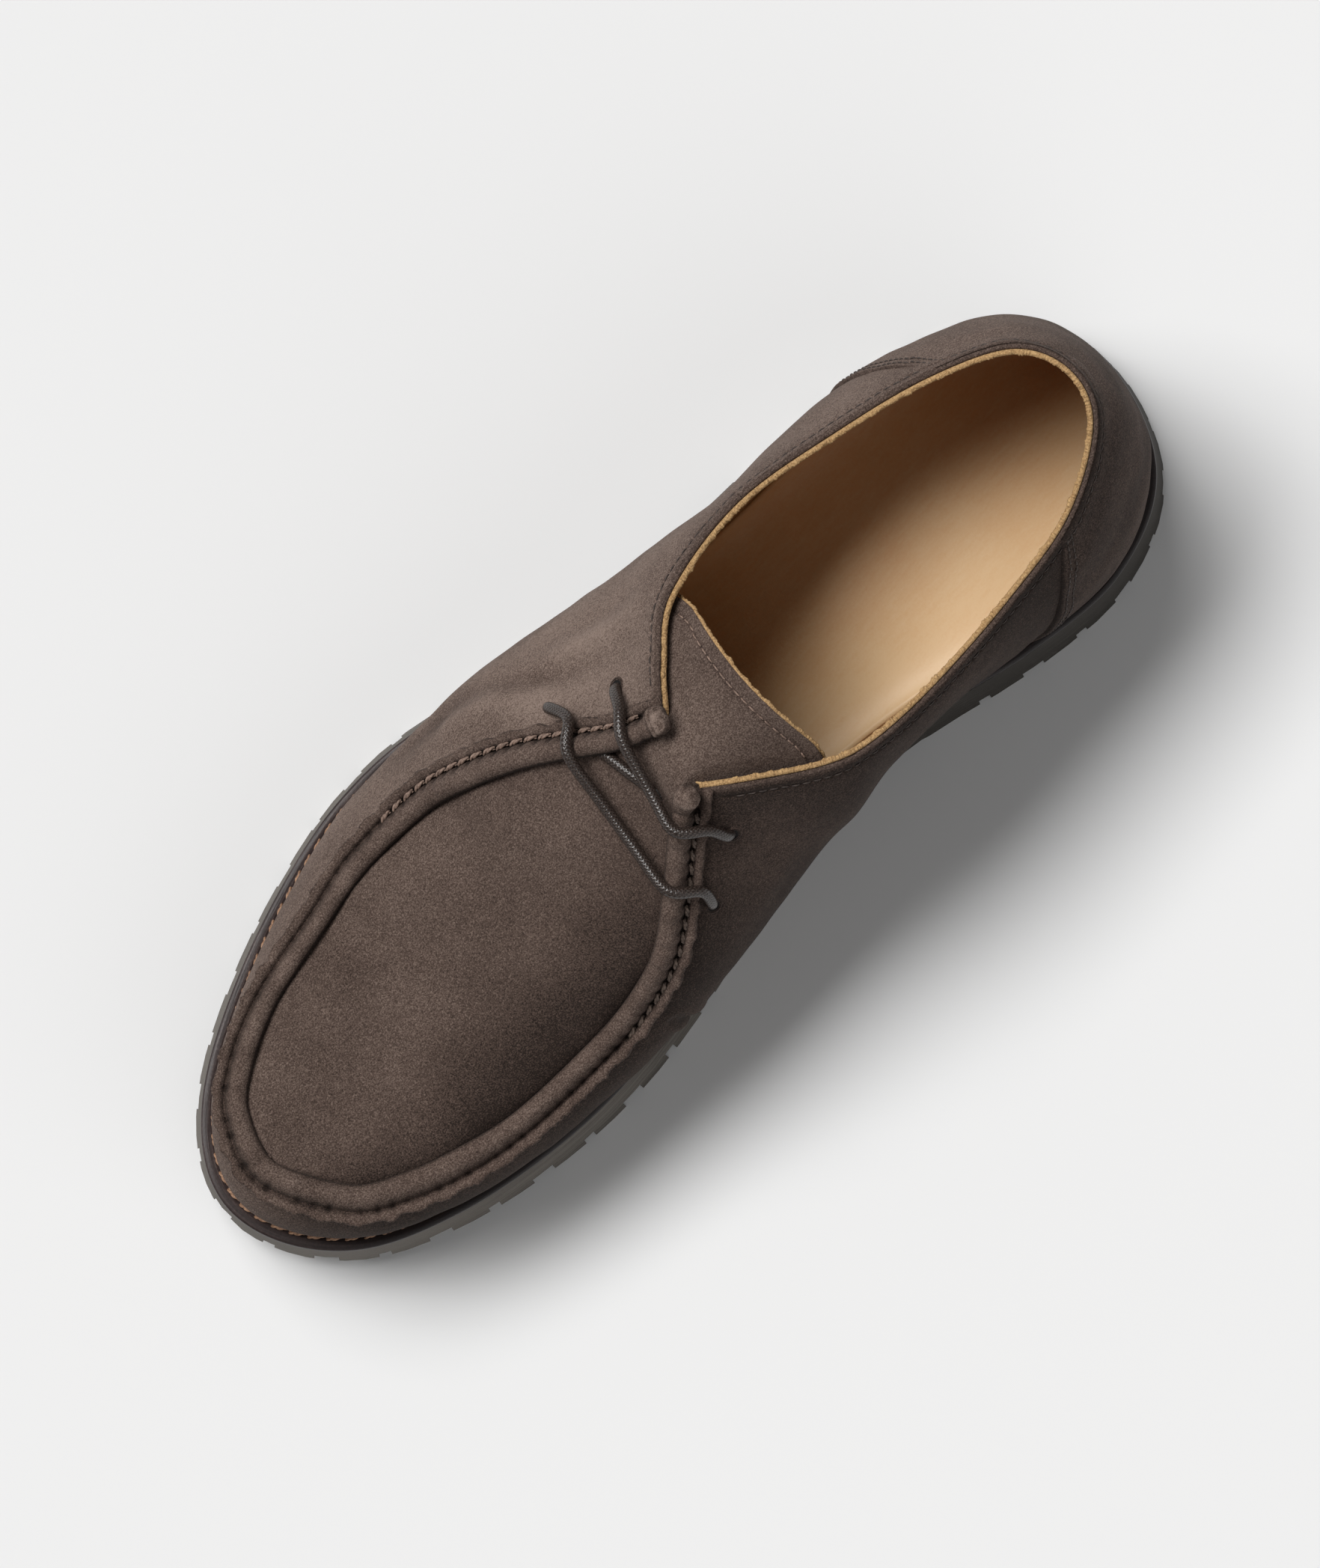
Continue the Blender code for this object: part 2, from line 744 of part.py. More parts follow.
def flank_points(table, key, tuck, facing):
    """Top side of the apron's flank: up inside the wall, then level under the roll to its crease."""
    crest = 0.91 + 0.045 * facing
    weight = seam_weight(key, table)
    inward, up = top_frame(table, key)
    top = wall_point(table, key, 1.0)
    clear = TONGUE_CLEAR * (1 + 0.6 * facing)
    depth = WALL + clear
    points = [inner_wall(table, key, crest - tuck * (1 - index / 2), depth) for index in range(3)]
    lift = ROLL_UNDERSIDE * weight - RIM_ROUND * (1 - weight) - clear
    points.append(top + inward * depth + up * lift)
    reach = ROLL_WIDTH - PIECE_GAP
    points.append(top + inward * reach + up * (lift + RIM_ROUND * (1 - weight)))
    return points


def apron_row(outer_rib, inner_rib, tuck, facing, hollow):
    """One cross section of apron or tongue, from the outer flank over the crown to the inner one."""
    left = flank_points(*outer_rib, tuck, facing)
    right = flank_points(*inner_rib, tuck, facing)
    start = left[-1]
    end = right[-1]
    keys = column(CROWN, CROWN_COLUMNS, "along")
    heights = column(CROWN, CROWN_COLUMNS, "height")
    middle = (start.x + end.x) / 2 / LAST_LENGTH + 0.5
    crown = smooth(keys, heights, middle) * INSTEP_HEIGHT
    rise = max(crown - (start.z + end.z) / 2, 0.0)
    arch = []
    for index in range(1, APRON_COLUMNS):
        share = index / APRON_COLUMNS
        point = start.lerp(end, share)
        point.z += rise * (1 - abs(2 * share - 1) ** 2.2)
        point.x += hollow * (1 - (2 * share - 1) ** 2)
        arch.append(point)
    return left + arch + right[::-1]


def apron_ribs():
    """Outer and inner rib, tuck and edge shape of each section, from the toe to the tongue's top."""
    ribs = []
    last = len(SEAM) - 1
    for index in range(APRON_SECTIONS + 1):
        share = 0.035 + 0.965 * (index / APRON_SECTIONS) ** 1.2
        facing = min(max((share - 0.62) / 0.2, 0.0), 1.0)
        tuck = TUCK_VAMP + (TUCK_FACING - TUCK_VAMP) * facing
        outer = (SEAM, TOE_ROW + (last - TOE_ROW) * share)
        inner = (SEAM, TOE_ROW * (1 - share))
        ribs.append((outer, inner, tuck, facing, 0.0))
    end = len(COLLAR) - 1
    outer_end = branch_key(COLLAR, 0, 5, TONGUE_ALONG_OUTER)
    inner_end = branch_key(COLLAR, end - 5, end, TONGUE_ALONG_INNER)
    for index in range(1, TONGUE_SECTIONS + 1):
        share = index / TONGUE_SECTIONS
        outer = (COLLAR, outer_end * share)
        inner = (COLLAR, end + (inner_end - end) * share)
        tuck = TUCK_FACING * (1 - 0.6 * share)
        ribs.append((outer, inner, tuck, 1.0, TONGUE_HOLLOW * share))
    return ribs


def offset_sheet(grid, depth):
    """Grid of points moved square to the sheet by a depth."""
    rows = len(grid)
    columns = len(grid[0])
    moved = []
    for i in range(rows):
        line = []
        for j in range(columns):
            ahead = grid[min(i + 1, rows - 1)][j] - grid[max(i - 1, 0)][j]
            first = (grid[i][min(j + 1, columns - 1)] - grid[i][j])
            second = (grid[i][j] - grid[i][max(j - 1, 0)])
            normals = [ahead.cross(part).normalized() for part in (first, second) if part.length > 0]
            normal = sum(normals, Vector()).normalized()
            miter = max(normal.dot(normals[0]), 0.6)
            line.append(grid[i][j] + normal * (depth / miter))
        moved.append(line)
    return moved


def build_apron(parts, material):
    """Apron and tongue in one piece, passing under the rolled seam and the facings."""
    top = [apron_row(*rib) for rib in apron_ribs()]
    middle = len(top[0]) // 2
    ahead = top[3][middle] - top[2][middle]
    across = top[2][middle + 1] - top[2][middle]
    side = -1 if ahead.cross(across).z > 0 else 1
    bottom = offset_sheet(top, side * APRON_THICKNESS)
    return sheet_solid("apron_tongue", top, bottom, parts, material)


def build_counter(parts, material):
    """Heel overlay that lies on the quarters, with a slanted front edge on each side."""
    inside = []
    outside = []
    for row in range(COUNTER_ROWS + 1):
        share = 0.006 + 0.966 * row / COUNTER_ROWS
        edge = COUNTER_FOOT + (COUNTER_TOP - COUNTER_FOOT) * share ** 0.7
        start = foot_key(-edge)
        end = foot_key(edge)
        near = []
        far = []
        for index in range(COUNTER_COLUMNS + 1):
            key = start + (end - start) * index / COUNTER_COLUMNS
            point = wall_point(COLLAR, key, share)
            normal = wall_normal(COLLAR, key, share)
            near.append(point + normal * PIECE_GAP)
            far.append(point + normal * (PIECE_GAP + COUNTER_THICKNESS))
        inside.append(near)
        outside.append(far)
    return sheet_solid("heel_counter", outside, inside, parts, material)


def build_insole(parts, material):
    """Thin leather board inside the upper, resting on the welt."""
    top = []
    bottom = []
    edge = WALL + 2.5 * PIECE_GAP
    for index in range(1, SOLE_STATIONS // 2):
        along = along_of(2 * math.pi * index / SOLE_STATIONS)
        for heights, lift in ((bottom, PIECE_GAP), (top, PIECE_GAP + INSOLE_THICKNESS)):
            section = sole_section(along, lambda turn: foot_inset(turn) + edge, lambda p, a: joint_height(p.x) + lift)
            heights.append(section)
    return sheet_solid("insole", top, bottom, parts, material)


def lace_route(inner_key, outer_key, share):
    """Centre line of a lace bar, from the inner eyelet over both rolls to the outer one."""
    radius = LACE_DIAMETER / 2
    ends = []
    for key in (inner_key, outer_key):
        inward, up = top_frame(SEAM, key)
        top = wall_point(SEAM, key, 1.0)
        normal = wall_normal(SEAM, key, share)
        hole = wall_point(SEAM, key, share) + normal * (radius + PIECE_GAP)
        shoulder = top + up * (ROLL_HEIGHT * 0.5 + radius + 2 * PIECE_GAP) - inward * STRIP_WIDTH * 1.1
        crest = top + inward * ROLL_WIDTH * 0.55 + up * (ROLL_HEIGHT + radius + 4 * PIECE_GAP)
        ends.append([hole, shoulder, crest])
    span = ends[1][2] - ends[0][2]
    first = ends[0][2] + span * 0.3
    second = ends[0][2] + span * 0.7
    return ends[0] + [first, second] + ends[1][::-1]


def lace_points(route):
    """Evenly spaced points on a smooth line through the route, with its bends eased."""
    keys = [0.0]
    for before, after in zip(route, route[1:]):
        keys.append(keys[-1] + (after - before).length)
    points = []
    for index in range(LACE_POINTS):
        place = keys[-1] * index / (LACE_POINTS - 1)
        points.append(Vector([smooth(keys, [point[axis] for point in route], place) for axis in range(3)]))
    for _ in range(LACE_EASING):
        eased = [(a + b * 2 + c) / 4 for a, b, c in zip(points, points[1:], points[2:])]
        points = [points[0]] + eased + [points[-1]]
    return points


def build_lace_bar(name, inner, outer, share, parts, material):
    inner_key = branch_key(SEAM, 0, TOE_ROW, inner)
    outer_key = branch_key(SEAM, TOE_ROW, len(SEAM) - 1, outer)
    route = lace_route(inner_key, outer_key, share)
    curve = bpy.data.curves.new(name, "CURVE")
    curve.dimensions = "3D"
    curve.bevel_depth = LACE_DIAMETER / 2
    curve.bevel_resolution = 2
    curve.use_fill_caps = True
    spline = curve.splines.new("POLY")
    spline.points.add(LACE_POINTS - 1)
    for knot, spot in zip(spline.points, lace_points(route)):
        knot.co = (*spot, 1.0)
    curve.materials.append(material)
    bar = bpy.data.objects.new(name, curve)
    parts.objects.link(bar)
    return bar


def main():
    clear_scene()
    parts = make_collection("moc_toe_shoe")
    cutters = make_collection("moc_toe_shoe_cutters")
    suede = make_material("suede", COLOURS["suede"], 0.9)
    rubber = make_material("rubber", COLOURS["rubber"], 0.7)
    welt = make_material("welt", COLOURS["welt"], 0.6)
    build_outsole(parts, cutters, rubber)
    build_welt(parts, welt)
    tan = make_material("tan_leather", COLOURS["tan"], 0.5)
    cord = make_material("cord", COLOURS["cord"], 0.4)
    build_upper(parts, suede)
    build_apron(parts, suede)
    build_counter(parts, suede)
    build_insole(parts, tan)
    for name, inner, outer, share in LACES:
        build_lace_bar(name, inner, outer, share, parts, cord)


main()
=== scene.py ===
import bpy
import bmesh
import math
import numpy as np
from mathutils import Matrix, Vector


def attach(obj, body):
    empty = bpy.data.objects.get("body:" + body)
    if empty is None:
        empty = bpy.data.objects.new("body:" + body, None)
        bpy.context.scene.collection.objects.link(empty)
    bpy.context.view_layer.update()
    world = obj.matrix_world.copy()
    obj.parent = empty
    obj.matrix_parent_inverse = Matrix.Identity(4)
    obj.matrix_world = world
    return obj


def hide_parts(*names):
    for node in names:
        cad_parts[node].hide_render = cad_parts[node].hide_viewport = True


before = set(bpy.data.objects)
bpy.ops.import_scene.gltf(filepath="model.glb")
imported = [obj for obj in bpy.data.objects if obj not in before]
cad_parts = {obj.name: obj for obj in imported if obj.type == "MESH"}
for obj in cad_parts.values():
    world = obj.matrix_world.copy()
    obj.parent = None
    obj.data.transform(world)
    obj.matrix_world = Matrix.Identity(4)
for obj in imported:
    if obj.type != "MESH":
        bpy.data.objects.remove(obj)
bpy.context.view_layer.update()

# Right moc toe shoe in dark suede. +X to the toe, +Y to the inner side, metres.

# The shoe's own sizes, the same as in the solids
shoe = {
    "length": 0.301,
    "soleLength": 0.3034,
    "ball": 0.105,
    "instep": 0.103,
    "collar": 0.1,
    "heelJoint": 0.0311,
    "foreJoint": 0.0173,
    "spring": 0.0109,
    "flareSide": 0.004,
    "flareOuter": 0.002,
    "flareEnd": 0.0022,
    "revealSide": 0.0032,
    "revealEnd": 0.0042,
    "gap": 0.0003,
    "wall": 0.0024,
    "lowHandle": 0.38,
    "highHandle": 0.2,
}

# ground edge of the sole: along, outer, inner
outlineRows = np.array([
    (0.0, 0.062, 0.062), (0.04, -0.192, 0.36), (0.125, -0.32, 0.47), (0.22, -0.352, 0.449),
    (0.33, -0.365, 0.372), (0.42, -0.39, 0.345), (0.5, -0.433, 0.376), (0.62, -0.52, 0.447),
    (0.7, -0.528, 0.469), (0.78, -0.483, 0.453), (0.87, -0.392, 0.392), (0.95, -0.262, 0.272),
    (1.0, -0.012, -0.012),
])

# joint of welt and upper: along, share of the heel's rise, share of the toe spring
jointRows = np.array([
    (0.0, 1.01, 0.0), (0.19, 0.74, 0.0), (0.303, 0.46, 0.0), (0.408, 0.16, 0.0), (0.513, 0.0, 0.0),
    (0.665, 0.0, 0.06), (0.79, 0.0, 0.34), (0.892, 0.0, 0.68), (1.0, 0.0, 1.03),
])

# collar line from the outer facing corner round the heel: foot, along, across, height, low, high
collarRows = np.array([
    (-0.468, 0.464, -0.087, 0.99, 0.19, 0.22), (-0.43, 0.439, -0.163, 0.975, 0.16, 0.17),
    (-0.388, 0.392, -0.262, 0.93, 0.105, 0.115), (-0.3, 0.3, -0.302, 0.852, 0.055, 0.045),
    (-0.2, 0.2, -0.252, 0.825, 0.086, 0.062), (-0.115, 0.118, -0.182, 0.893, 0.058, 0.052),
    (-0.035, 0.057, -0.085, 0.968, 0.056, 0.04), (0.0, 0.037, 0.048, 0.997, 0.053, 0.037),
    (0.035, 0.055, 0.18, 0.975, 0.056, 0.04), (0.115, 0.122, 0.288, 0.912, 0.045, 0.058),
    (0.2, 0.205, 0.324, 0.858, 0.046, 0.057), (0.3, 0.298, 0.338, 0.876, 0.066, 0.071),
    (0.37, 0.365, 0.326, 0.925, 0.105, 0.08), (0.42, 0.405, 0.286, 0.957, 0.165, 0.145),
    (0.46, 0.455, 0.19, 0.985, 0.2, 0.2), (0.485, 0.488, 0.117, 0.992, 0.215, 0.25),
])

# stitched groove of the moc seam from the inner facing corner round the toe, same columns
seamRows = np.array([
    (0.485, 0.488, 0.117, 0.992, 0.215, 0.25), (0.52, 0.523, 0.186, 0.87, 0.19, 0.21),
    (0.555, 0.555, 0.257, 0.787, 0.155, 0.175), (0.598, 0.598, 0.334, 0.68, 0.108, 0.125),
    (0.651, 0.651, 0.367, 0.565, 0.076, 0.086), (0.718, 0.707, 0.369, 0.502, 0.057, 0.057),
    (0.79, 0.777, 0.358, 0.474, 0.048, 0.048), (0.85, 0.833, 0.328, 0.462, 0.043, 0.04),
    (0.91, 0.884, 0.272, 0.464, 0.038, 0.034), (0.965, 0.928, 0.185, 0.477, 0.03, 0.028),
    (1.0, 0.961, -0.01, 0.489, 0.026, 0.026), (-0.965, 0.942, -0.169, 0.483, 0.026, 0.024),
    (-0.925, 0.907, -0.253, 0.468, 0.026, 0.024), (-0.867, 0.853, -0.316, 0.46, 0.026, 0.024),
    (-0.797, 0.777, -0.356, 0.472, 0.028, 0.026), (-0.728, 0.72, -0.385, 0.496, 0.032, 0.032),
    (-0.651, 0.646, -0.38, 0.547, 0.045, 0.048), (-0.598, 0.601, -0.339, 0.653, 0.075, 0.1),
    (-0.561, 0.561, -0.279, 0.733, 0.118, 0.165), (-0.53, 0.532, -0.217, 0.79, 0.148, 0.21),
    (-0.495, 0.497, -0.136, 0.893, 0.18, 0.215), (-0.468, 0.464, -0.087, 0.99, 0.19, 0.22),
])
toeKey = 10.0

# centre line of apron and tongue: along, share of the instep height
crownRows = np.array([
    (0.39, 1.05), (0.432, 1.014), (0.47, 0.975), (0.5, 0.905), (0.532, 0.84), (0.575, 0.768),
    (0.62, 0.71), (0.672, 0.645), (0.74, 0.572), (0.8, 0.525), (0.86, 0.498), (0.95, 0.488),
])

up = np.array([0.0, 0.0, 1.0])


def unit(v):
    return v / np.maximum(np.linalg.norm(v, axis=-1, keepdims=True), 1e-12)


def ease(t):
    t = np.clip(t, 0.0, 1.0)
    return t * t * (3 - 2 * t)


# bell of height one round zero
def bell(distance, width):
    return np.exp(-(distance / width) ** 2)


# turns vectors to the side of another one
def turnedTo(vectors, side):
    return vectors * np.where((vectors * side).sum(-1, keepdims=True) < 0, -1.0, 1.0)


# distances along a row of points, and values picked at such distances
def walkedAlong(points):
    return np.concatenate([[0.0], np.cumsum(np.linalg.norm(np.diff(points, axis=0), axis=1))])


def pickAlong(places, walked, values):
    return np.stack([np.interp(places, walked, values[:, axis]) for axis in range(3)], -1)


# smooth curve through a table's column
def smoothCurve(keys, values, places):
    keys = np.asarray(keys, float)
    values = np.asarray(values, float)
    places = np.clip(np.asarray(places, float), keys[0], keys[-1])
    slopes = np.empty_like(values)
    slopes[1:-1] = (values[2:] - values[:-2]) / (keys[2:] - keys[:-2])
    slopes[0] = (values[1] - values[0]) / (keys[1] - keys[0])
    slopes[-1] = (values[-1] - values[-2]) / (keys[-1] - keys[-2])
    span = np.clip(np.searchsorted(keys, places) - 1, 0, len(keys) - 2)
    width = keys[span + 1] - keys[span]
    t = (places - keys[span]) / width
    first = (2 * t ** 3 - 3 * t ** 2 + 1) * values[span] + (t ** 3 - 2 * t ** 2 + t) * width * slopes[span]
    return first + (3 * t ** 2 - 2 * t ** 3) * values[span + 1] + (t ** 3 - t ** 2) * width * slopes[span + 1]


def tableCurve(rows, places, column=1):
    rows = np.asarray(rows, float)
    return smoothCurve(rows[:, 0], rows[:, column], places)


# sum of sine waves in seeded directions: soft noise of about unit size
def softNoise(points, wavelength, seed, waves=20):
    rng = np.random.default_rng(seed)
    points = np.asarray(points, float)
    if points.ndim == 1:
        points = points[:, None]
    directions = unit(rng.normal(size=(waves, points.shape[-1])))
    pulses = directions * 2 * np.pi / (wavelength * rng.uniform(0.6, 1.6, (waves, 1)))
    return np.sin(points @ pulses.T + rng.uniform(0, 2 * np.pi, waves)).sum(-1) / math.sqrt(waves / 2)


# soft noises added up: height, wavelength, seed and number of waves
def softWaves(points, rows):
    return sum(height * softNoise(points, *rest) for height, *rest in rows)


halfTurns = np.arccos(1 - 2 * outlineRows[:, 0])
outlineKeys = np.concatenate([halfTurns, 2 * np.pi - halfTurns[-2::-1]])
outlineAcross = np.concatenate([outlineRows[:, 1], outlineRows[-2::-1, 2]])
outlineKeys = np.concatenate([[outlineKeys[-2] - 2 * np.pi], outlineKeys, [outlineKeys[1] + 2 * np.pi]])
outlineAcross = np.concatenate([[outlineAcross[-2]], outlineAcross, [outlineAcross[1]]])
centreAcross = (outlineRows[:, 1].min() + outlineRows[:, 2].max()) / 2 * shoe["ball"]


def groundPoint(turn):
    turn = np.mod(turn, 2 * np.pi)
    x = ((1 - np.cos(turn)) / 2 - 0.5) * shoe["soleLength"]
    y = smoothCurve(outlineKeys, outlineAcross, turn) * shoe["ball"] - centreAcross
    return np.stack([x, y, np.zeros_like(x)], -1)


def outwardOf(turn):
    tangent = groundPoint(turn + 0.02) - groundPoint(turn - 0.02)
    return unit(np.stack([tangent[..., 1], -tangent[..., 0], np.zeros_like(turn)], -1))


def flare(turn):
    side = np.where(np.sin(turn) > 0, shoe["flareOuter"], shoe["flareSide"])
    return shoe["flareEnd"] + (side - shoe["flareEnd"]) * np.sin(turn) ** 2


def footInset(turn):
    return flare(turn) + shoe["revealEnd"] + (shoe["revealSide"] - shoe["revealEnd"]) * np.sin(turn) ** 2


def insetPoint(turn, inset):
    return groundPoint(turn) - outwardOf(turn) * np.asarray(inset)[..., None]


def jointHeight(x):
    along = x / shoe["soleLength"] + 0.5
    rise, spring = [tableCurve(jointRows, along, column) for column in (1, 2)]
    return shoe["foreJoint"] + rise * (shoe["heelJoint"] - shoe["foreJoint"]) + spring * shoe["spring"]


def turnOf(foot):
    angle = math.acos(min(max(1 - 2 * abs(foot), -1.0), 1.0))
    return angle if foot < 0 else 2 * math.pi - angle


# upright sections of the wall at places between the rows of a table
def wallRibs(table, key):
    rows = np.arange(len(table), dtype=float)
    turn = smoothCurve(rows, np.unwrap([turnOf(foot) for foot in table[:, 0]]), key)
    along, across, height, low, high = [smoothCurve(rows, table[:, c], key) for c in range(1, 6)]
    share = ease((along - 0.15) / 0.25)
    full = shoe["collar"] + (shoe["instep"] - shoe["collar"]) * share
    foot = insetPoint(turn, footInset(turn))
    foot[..., 2] = jointHeight(foot[..., 0]) + shoe["gap"]
    top = np.stack([(along - 0.5) * shoe["length"], across * shoe["ball"] - centreAcross, height * full], -1)
    return {"turn": turn, "foot": foot, "top": top, "out": outwardOf(turn),
            "low": low * shoe["ball"], "high": high * shoe["ball"]}


# points on the wall's outer face: one row of points for each rib
def wallPoints(ribs, share):
    s = share[..., None]
    foot, top, out = [ribs[name][:, None, :] for name in ("foot", "top", "out")]
    rise = (top - foot)[..., 2:3]
    first = foot + out * ribs["low"][:, None, None] + up * shoe["lowHandle"] * rise
    second = top + out * ribs["high"][:, None, None] - up * shoe["highHandle"] * rise
    rest = 1 - s
    return foot * rest ** 3 + first * 3 * rest ** 2 * s + second * 3 * rest * s ** 2 + top * s ** 3


# one point and its outward normal for each place of a table
def wallAt(table, key, share):
    return wallPoints(wallRibs(table, key), np.broadcast_to(share, key.shape)[:, None])[:, 0]


def wallNormal(table, key, share):
    last = len(table) - 1.0
    share = np.broadcast_to(share, key.shape)
    along = wallAt(table, np.minimum(key + 0.06, last), share) - wallAt(table, np.maximum(key - 0.06, 0.0), share)
    rise = wallAt(table, key, np.minimum(share + 0.02, 1.0)) - wallAt(table, key, np.maximum(share - 0.02, 0.0))
    return turnedTo(unit(np.cross(rise, along)), wallRibs(table, key)["out"])


# places evenly spaced along the wall's top line, and its length
def evenKeys(table, count):
    fine = np.linspace(0, len(table) - 1.0, 3000)
    walked = walkedAlong(wallRibs(table, fine)["top"])
    return np.interp(np.linspace(0, walked[-1], count), walked, fine), walked[-1]


# inward and upward directions square to a line
def squareFrame(tangent, out):
    inward = turnedTo(np.cross(up, tangent), -out)
    inward = unit(inward - tangent * (inward * tangent).sum(-1, keepdims=True))
    return inward, unit(turnedTo(np.cross(tangent, inward), up))


def topFrame(line):
    return squareFrame(unit(np.gradient(line["top"], axis=0)), line["out"])


def gridNormals(grid, side, wrap=False):
    around = np.roll(grid, -1, 0) - np.roll(grid, 1, 0) if wrap else np.gradient(grid, axis=0)
    return turnedTo(unit(np.cross(around, np.gradient(grid, axis=1))), side)


def gridFaces(rows, columns, wrapRows=False, wrapColumns=False):
    i = np.arange(rows if wrapRows else rows - 1)
    j = np.arange(columns if wrapColumns else columns - 1)
    i, j = np.meshgrid(i, j, indexing="ij")
    a = i * columns + j
    b = ((i + 1) % rows) * columns + j
    c = ((i + 1) % rows) * columns + (j + 1) % columns
    d = i * columns + (j + 1) % columns
    return np.stack([a, b, c, d], -1).reshape(-1, 4)


def linkObject(name, data):
    thing = bpy.data.objects.new(name, data)
    bpy.context.scene.collection.objects.link(thing)
    return thing


def addTone(mesh, tone):
    layer = mesh.attributes.new("tone", "FLOAT", "POINT")
    layer.data.foreach_set("value", np.asarray(tone, np.float32).ravel())


insideSpot = np.array([0.0, 0.0, 0.04])


# makes a piece from a grid of points, or points and faces, and turns its faces away from the shoe's inside
def addPiece(name, points, materials, tone=None, faces=None, wrap=(False, False), zones=None,
             away=None, uv=None):
    if faces is None:
        faces = gridFaces(*points.shape[:2], *wrap)
    points = np.asarray(points, float).reshape(-1, 3)
    corners = points[faces[:, :4]]
    normals = np.cross(corners[:, 2] - corners[:, 0], corners[:, 3] - corners[:, 1])
    directions = corners.mean(1) - insideSpot if away is None else np.broadcast_to(away, normals.shape)
    if (normals * unit(directions)).sum() < 0:
        faces = faces[:, ::-1]
    mesh = bpy.data.meshes.new(name)
    mesh.from_pydata(points.tolist(), [], faces.tolist())
    if uv is not None:
        layer = mesh.uv_layers.new(name="UVMap")
        layer.data.foreach_set("uv", np.asarray(uv, float).reshape(-1, 2)[faces.ravel()].ravel())
    for material in materials:
        mesh.materials.append(material)
    if zones is not None:
        mesh.polygons.foreach_set("material_index", np.asarray(zones, np.int32))
    if tone is not None:
        addTone(mesh, tone)
    mesh.validate()
    mesh.shade_smooth()
    piece = linkObject(name, mesh)
    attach(piece, "root")
    return piece


# gives a sheet its thickness, on the side away from its faces
def thicken(piece, thickness):
    solid = piece.modifiers.new("thickness", "SOLIDIFY")
    solid.thickness = thickness
    solid.offset = -1.0
    return solid


# many short threads in one piece: paths is threads x points x 3
def addThreads(name, paths, normals, radius, materials, sides=7, slot="cord", taper=0.45):
    count, steps, _ = paths.shape
    tangent = unit(np.gradient(paths, axis=1))
    side = unit(np.cross(tangent, normals[:, None, :]))
    rise = unit(np.cross(side, tangent))
    size = radius * (1 - (1 - taper) * np.abs(np.linspace(-1, 1, steps)) ** 5)
    angle = np.arange(sides) * 2 * np.pi / sides
    ring = side[:, :, None, :] * np.cos(angle)[:, None] + rise[:, :, None, :] * np.sin(angle)[:, None]
    points = paths[:, :, None, :] + ring * size[None, :, None, None]
    capped = [end * sides + np.array([0, k, k + 1, k + 2]) for end in (0, steps - 1) for k in range(1, sides - 2, 2)]
    offsets = (np.arange(count) * steps * sides)[:, None, None]
    tubes = gridFaces(steps, sides, wrapColumns=True)
    faces = np.concatenate([(part[None] + offsets).reshape(-1, 4) for part in (tubes, np.array(capped))])
    return addPiece(name, points, materials, faces=faces)


# stitches laid end to end on a path that has its surface's normals
def stitchPaths(path, normals, pitch, length, lift, slant=0.0, steps=9, start=0.0, stop=0.0):
    walked = walkedAlong(path)
    centres = np.arange(start + pitch / 2, walked[-1] - stop - pitch / 2, pitch)
    t = np.linspace(-0.5, 0.5, steps)
    places = centres[:, None] + t * length
    at = pickAlong(places, walked, path)
    nor = unit(pickAlong(places, walked, normals))
    side = unit(np.cross(nor, unit(np.gradient(at, axis=1))))
    at = at + nor * (lift * (1 - (2 * t) ** 2))[None, :, None] + side * (slant * 2 * t)[None, :, None]
    return at, nor[:, steps // 2], centres


def twoStrands(paths, normals, spread, turns):
    steps = paths.shape[1]
    tangent = unit(np.gradient(paths, axis=1))
    side = unit(np.cross(tangent, normals[:, None, :]))
    rise = np.cross(side, tangent)
    angle = np.linspace(0, 2 * np.pi * turns, steps)[None, :, None]
    shift = (side * np.cos(angle) + rise * np.sin(angle)) * spread
    return np.concatenate([paths + shift, paths - shift]), np.concatenate([normals, normals])


# node materials: an input is a socket or a plain value
def addNode(tree, kind, *values, **named):
    node = tree.nodes.new("ShaderNode" + kind)
    for key, value in [*enumerate(values), *named.items()]:
        if isinstance(value, bpy.types.NodeSocket):
            tree.links.new(value, node.inputs[key])
        else:
            node.inputs[key].default_value = value
    return node


def newMaterial(name, roughness, specular):
    material = bpy.data.materials.new(name)
    material.use_nodes = True
    shader = material.node_tree.nodes["Principled BSDF"]
    shader.inputs["Roughness"].default_value = roughness
    shader.inputs["Specular IOR Level"].default_value = specular
    return material, material.node_tree, shader


def place(tree, scale=(1.0, 1.0, 1.0), space="Object", turn=(0.0, 0.0, 0.0)):
    coordinates = tree.nodes.new("ShaderNodeTexCoord")
    return addNode(tree, "Mapping", Vector=coordinates.outputs[space], Rotation=turn, Scale=scale).outputs["Vector"]


def noiseNode(tree, vector, scale, detail=2.0, roughness=0.5):
    return addNode(tree, "TexNoise", Vector=vector, Scale=scale, Detail=detail, Roughness=roughness).outputs["Fac"]


def mathNode(tree, operation, *values):
    node = addNode(tree, "Math", *values)
    node.operation = operation
    return node.outputs[0]


# adds up terms of socket, factor and shift
def sumNode(tree, *terms):
    total = None
    for term in terms:
        part = mathNode(tree, "MULTIPLY_ADD", *term)
        total = part if total is None else mathNode(tree, "ADD", total, part)
    return total


def toneNode(tree):
    node = tree.nodes.new("ShaderNodeAttribute")
    node.attribute_name = "tone"
    return node.outputs["Fac"]


def threeStops(look, *places):
    return list(zip(places, (look["dark"], look["main"], look["light"])))


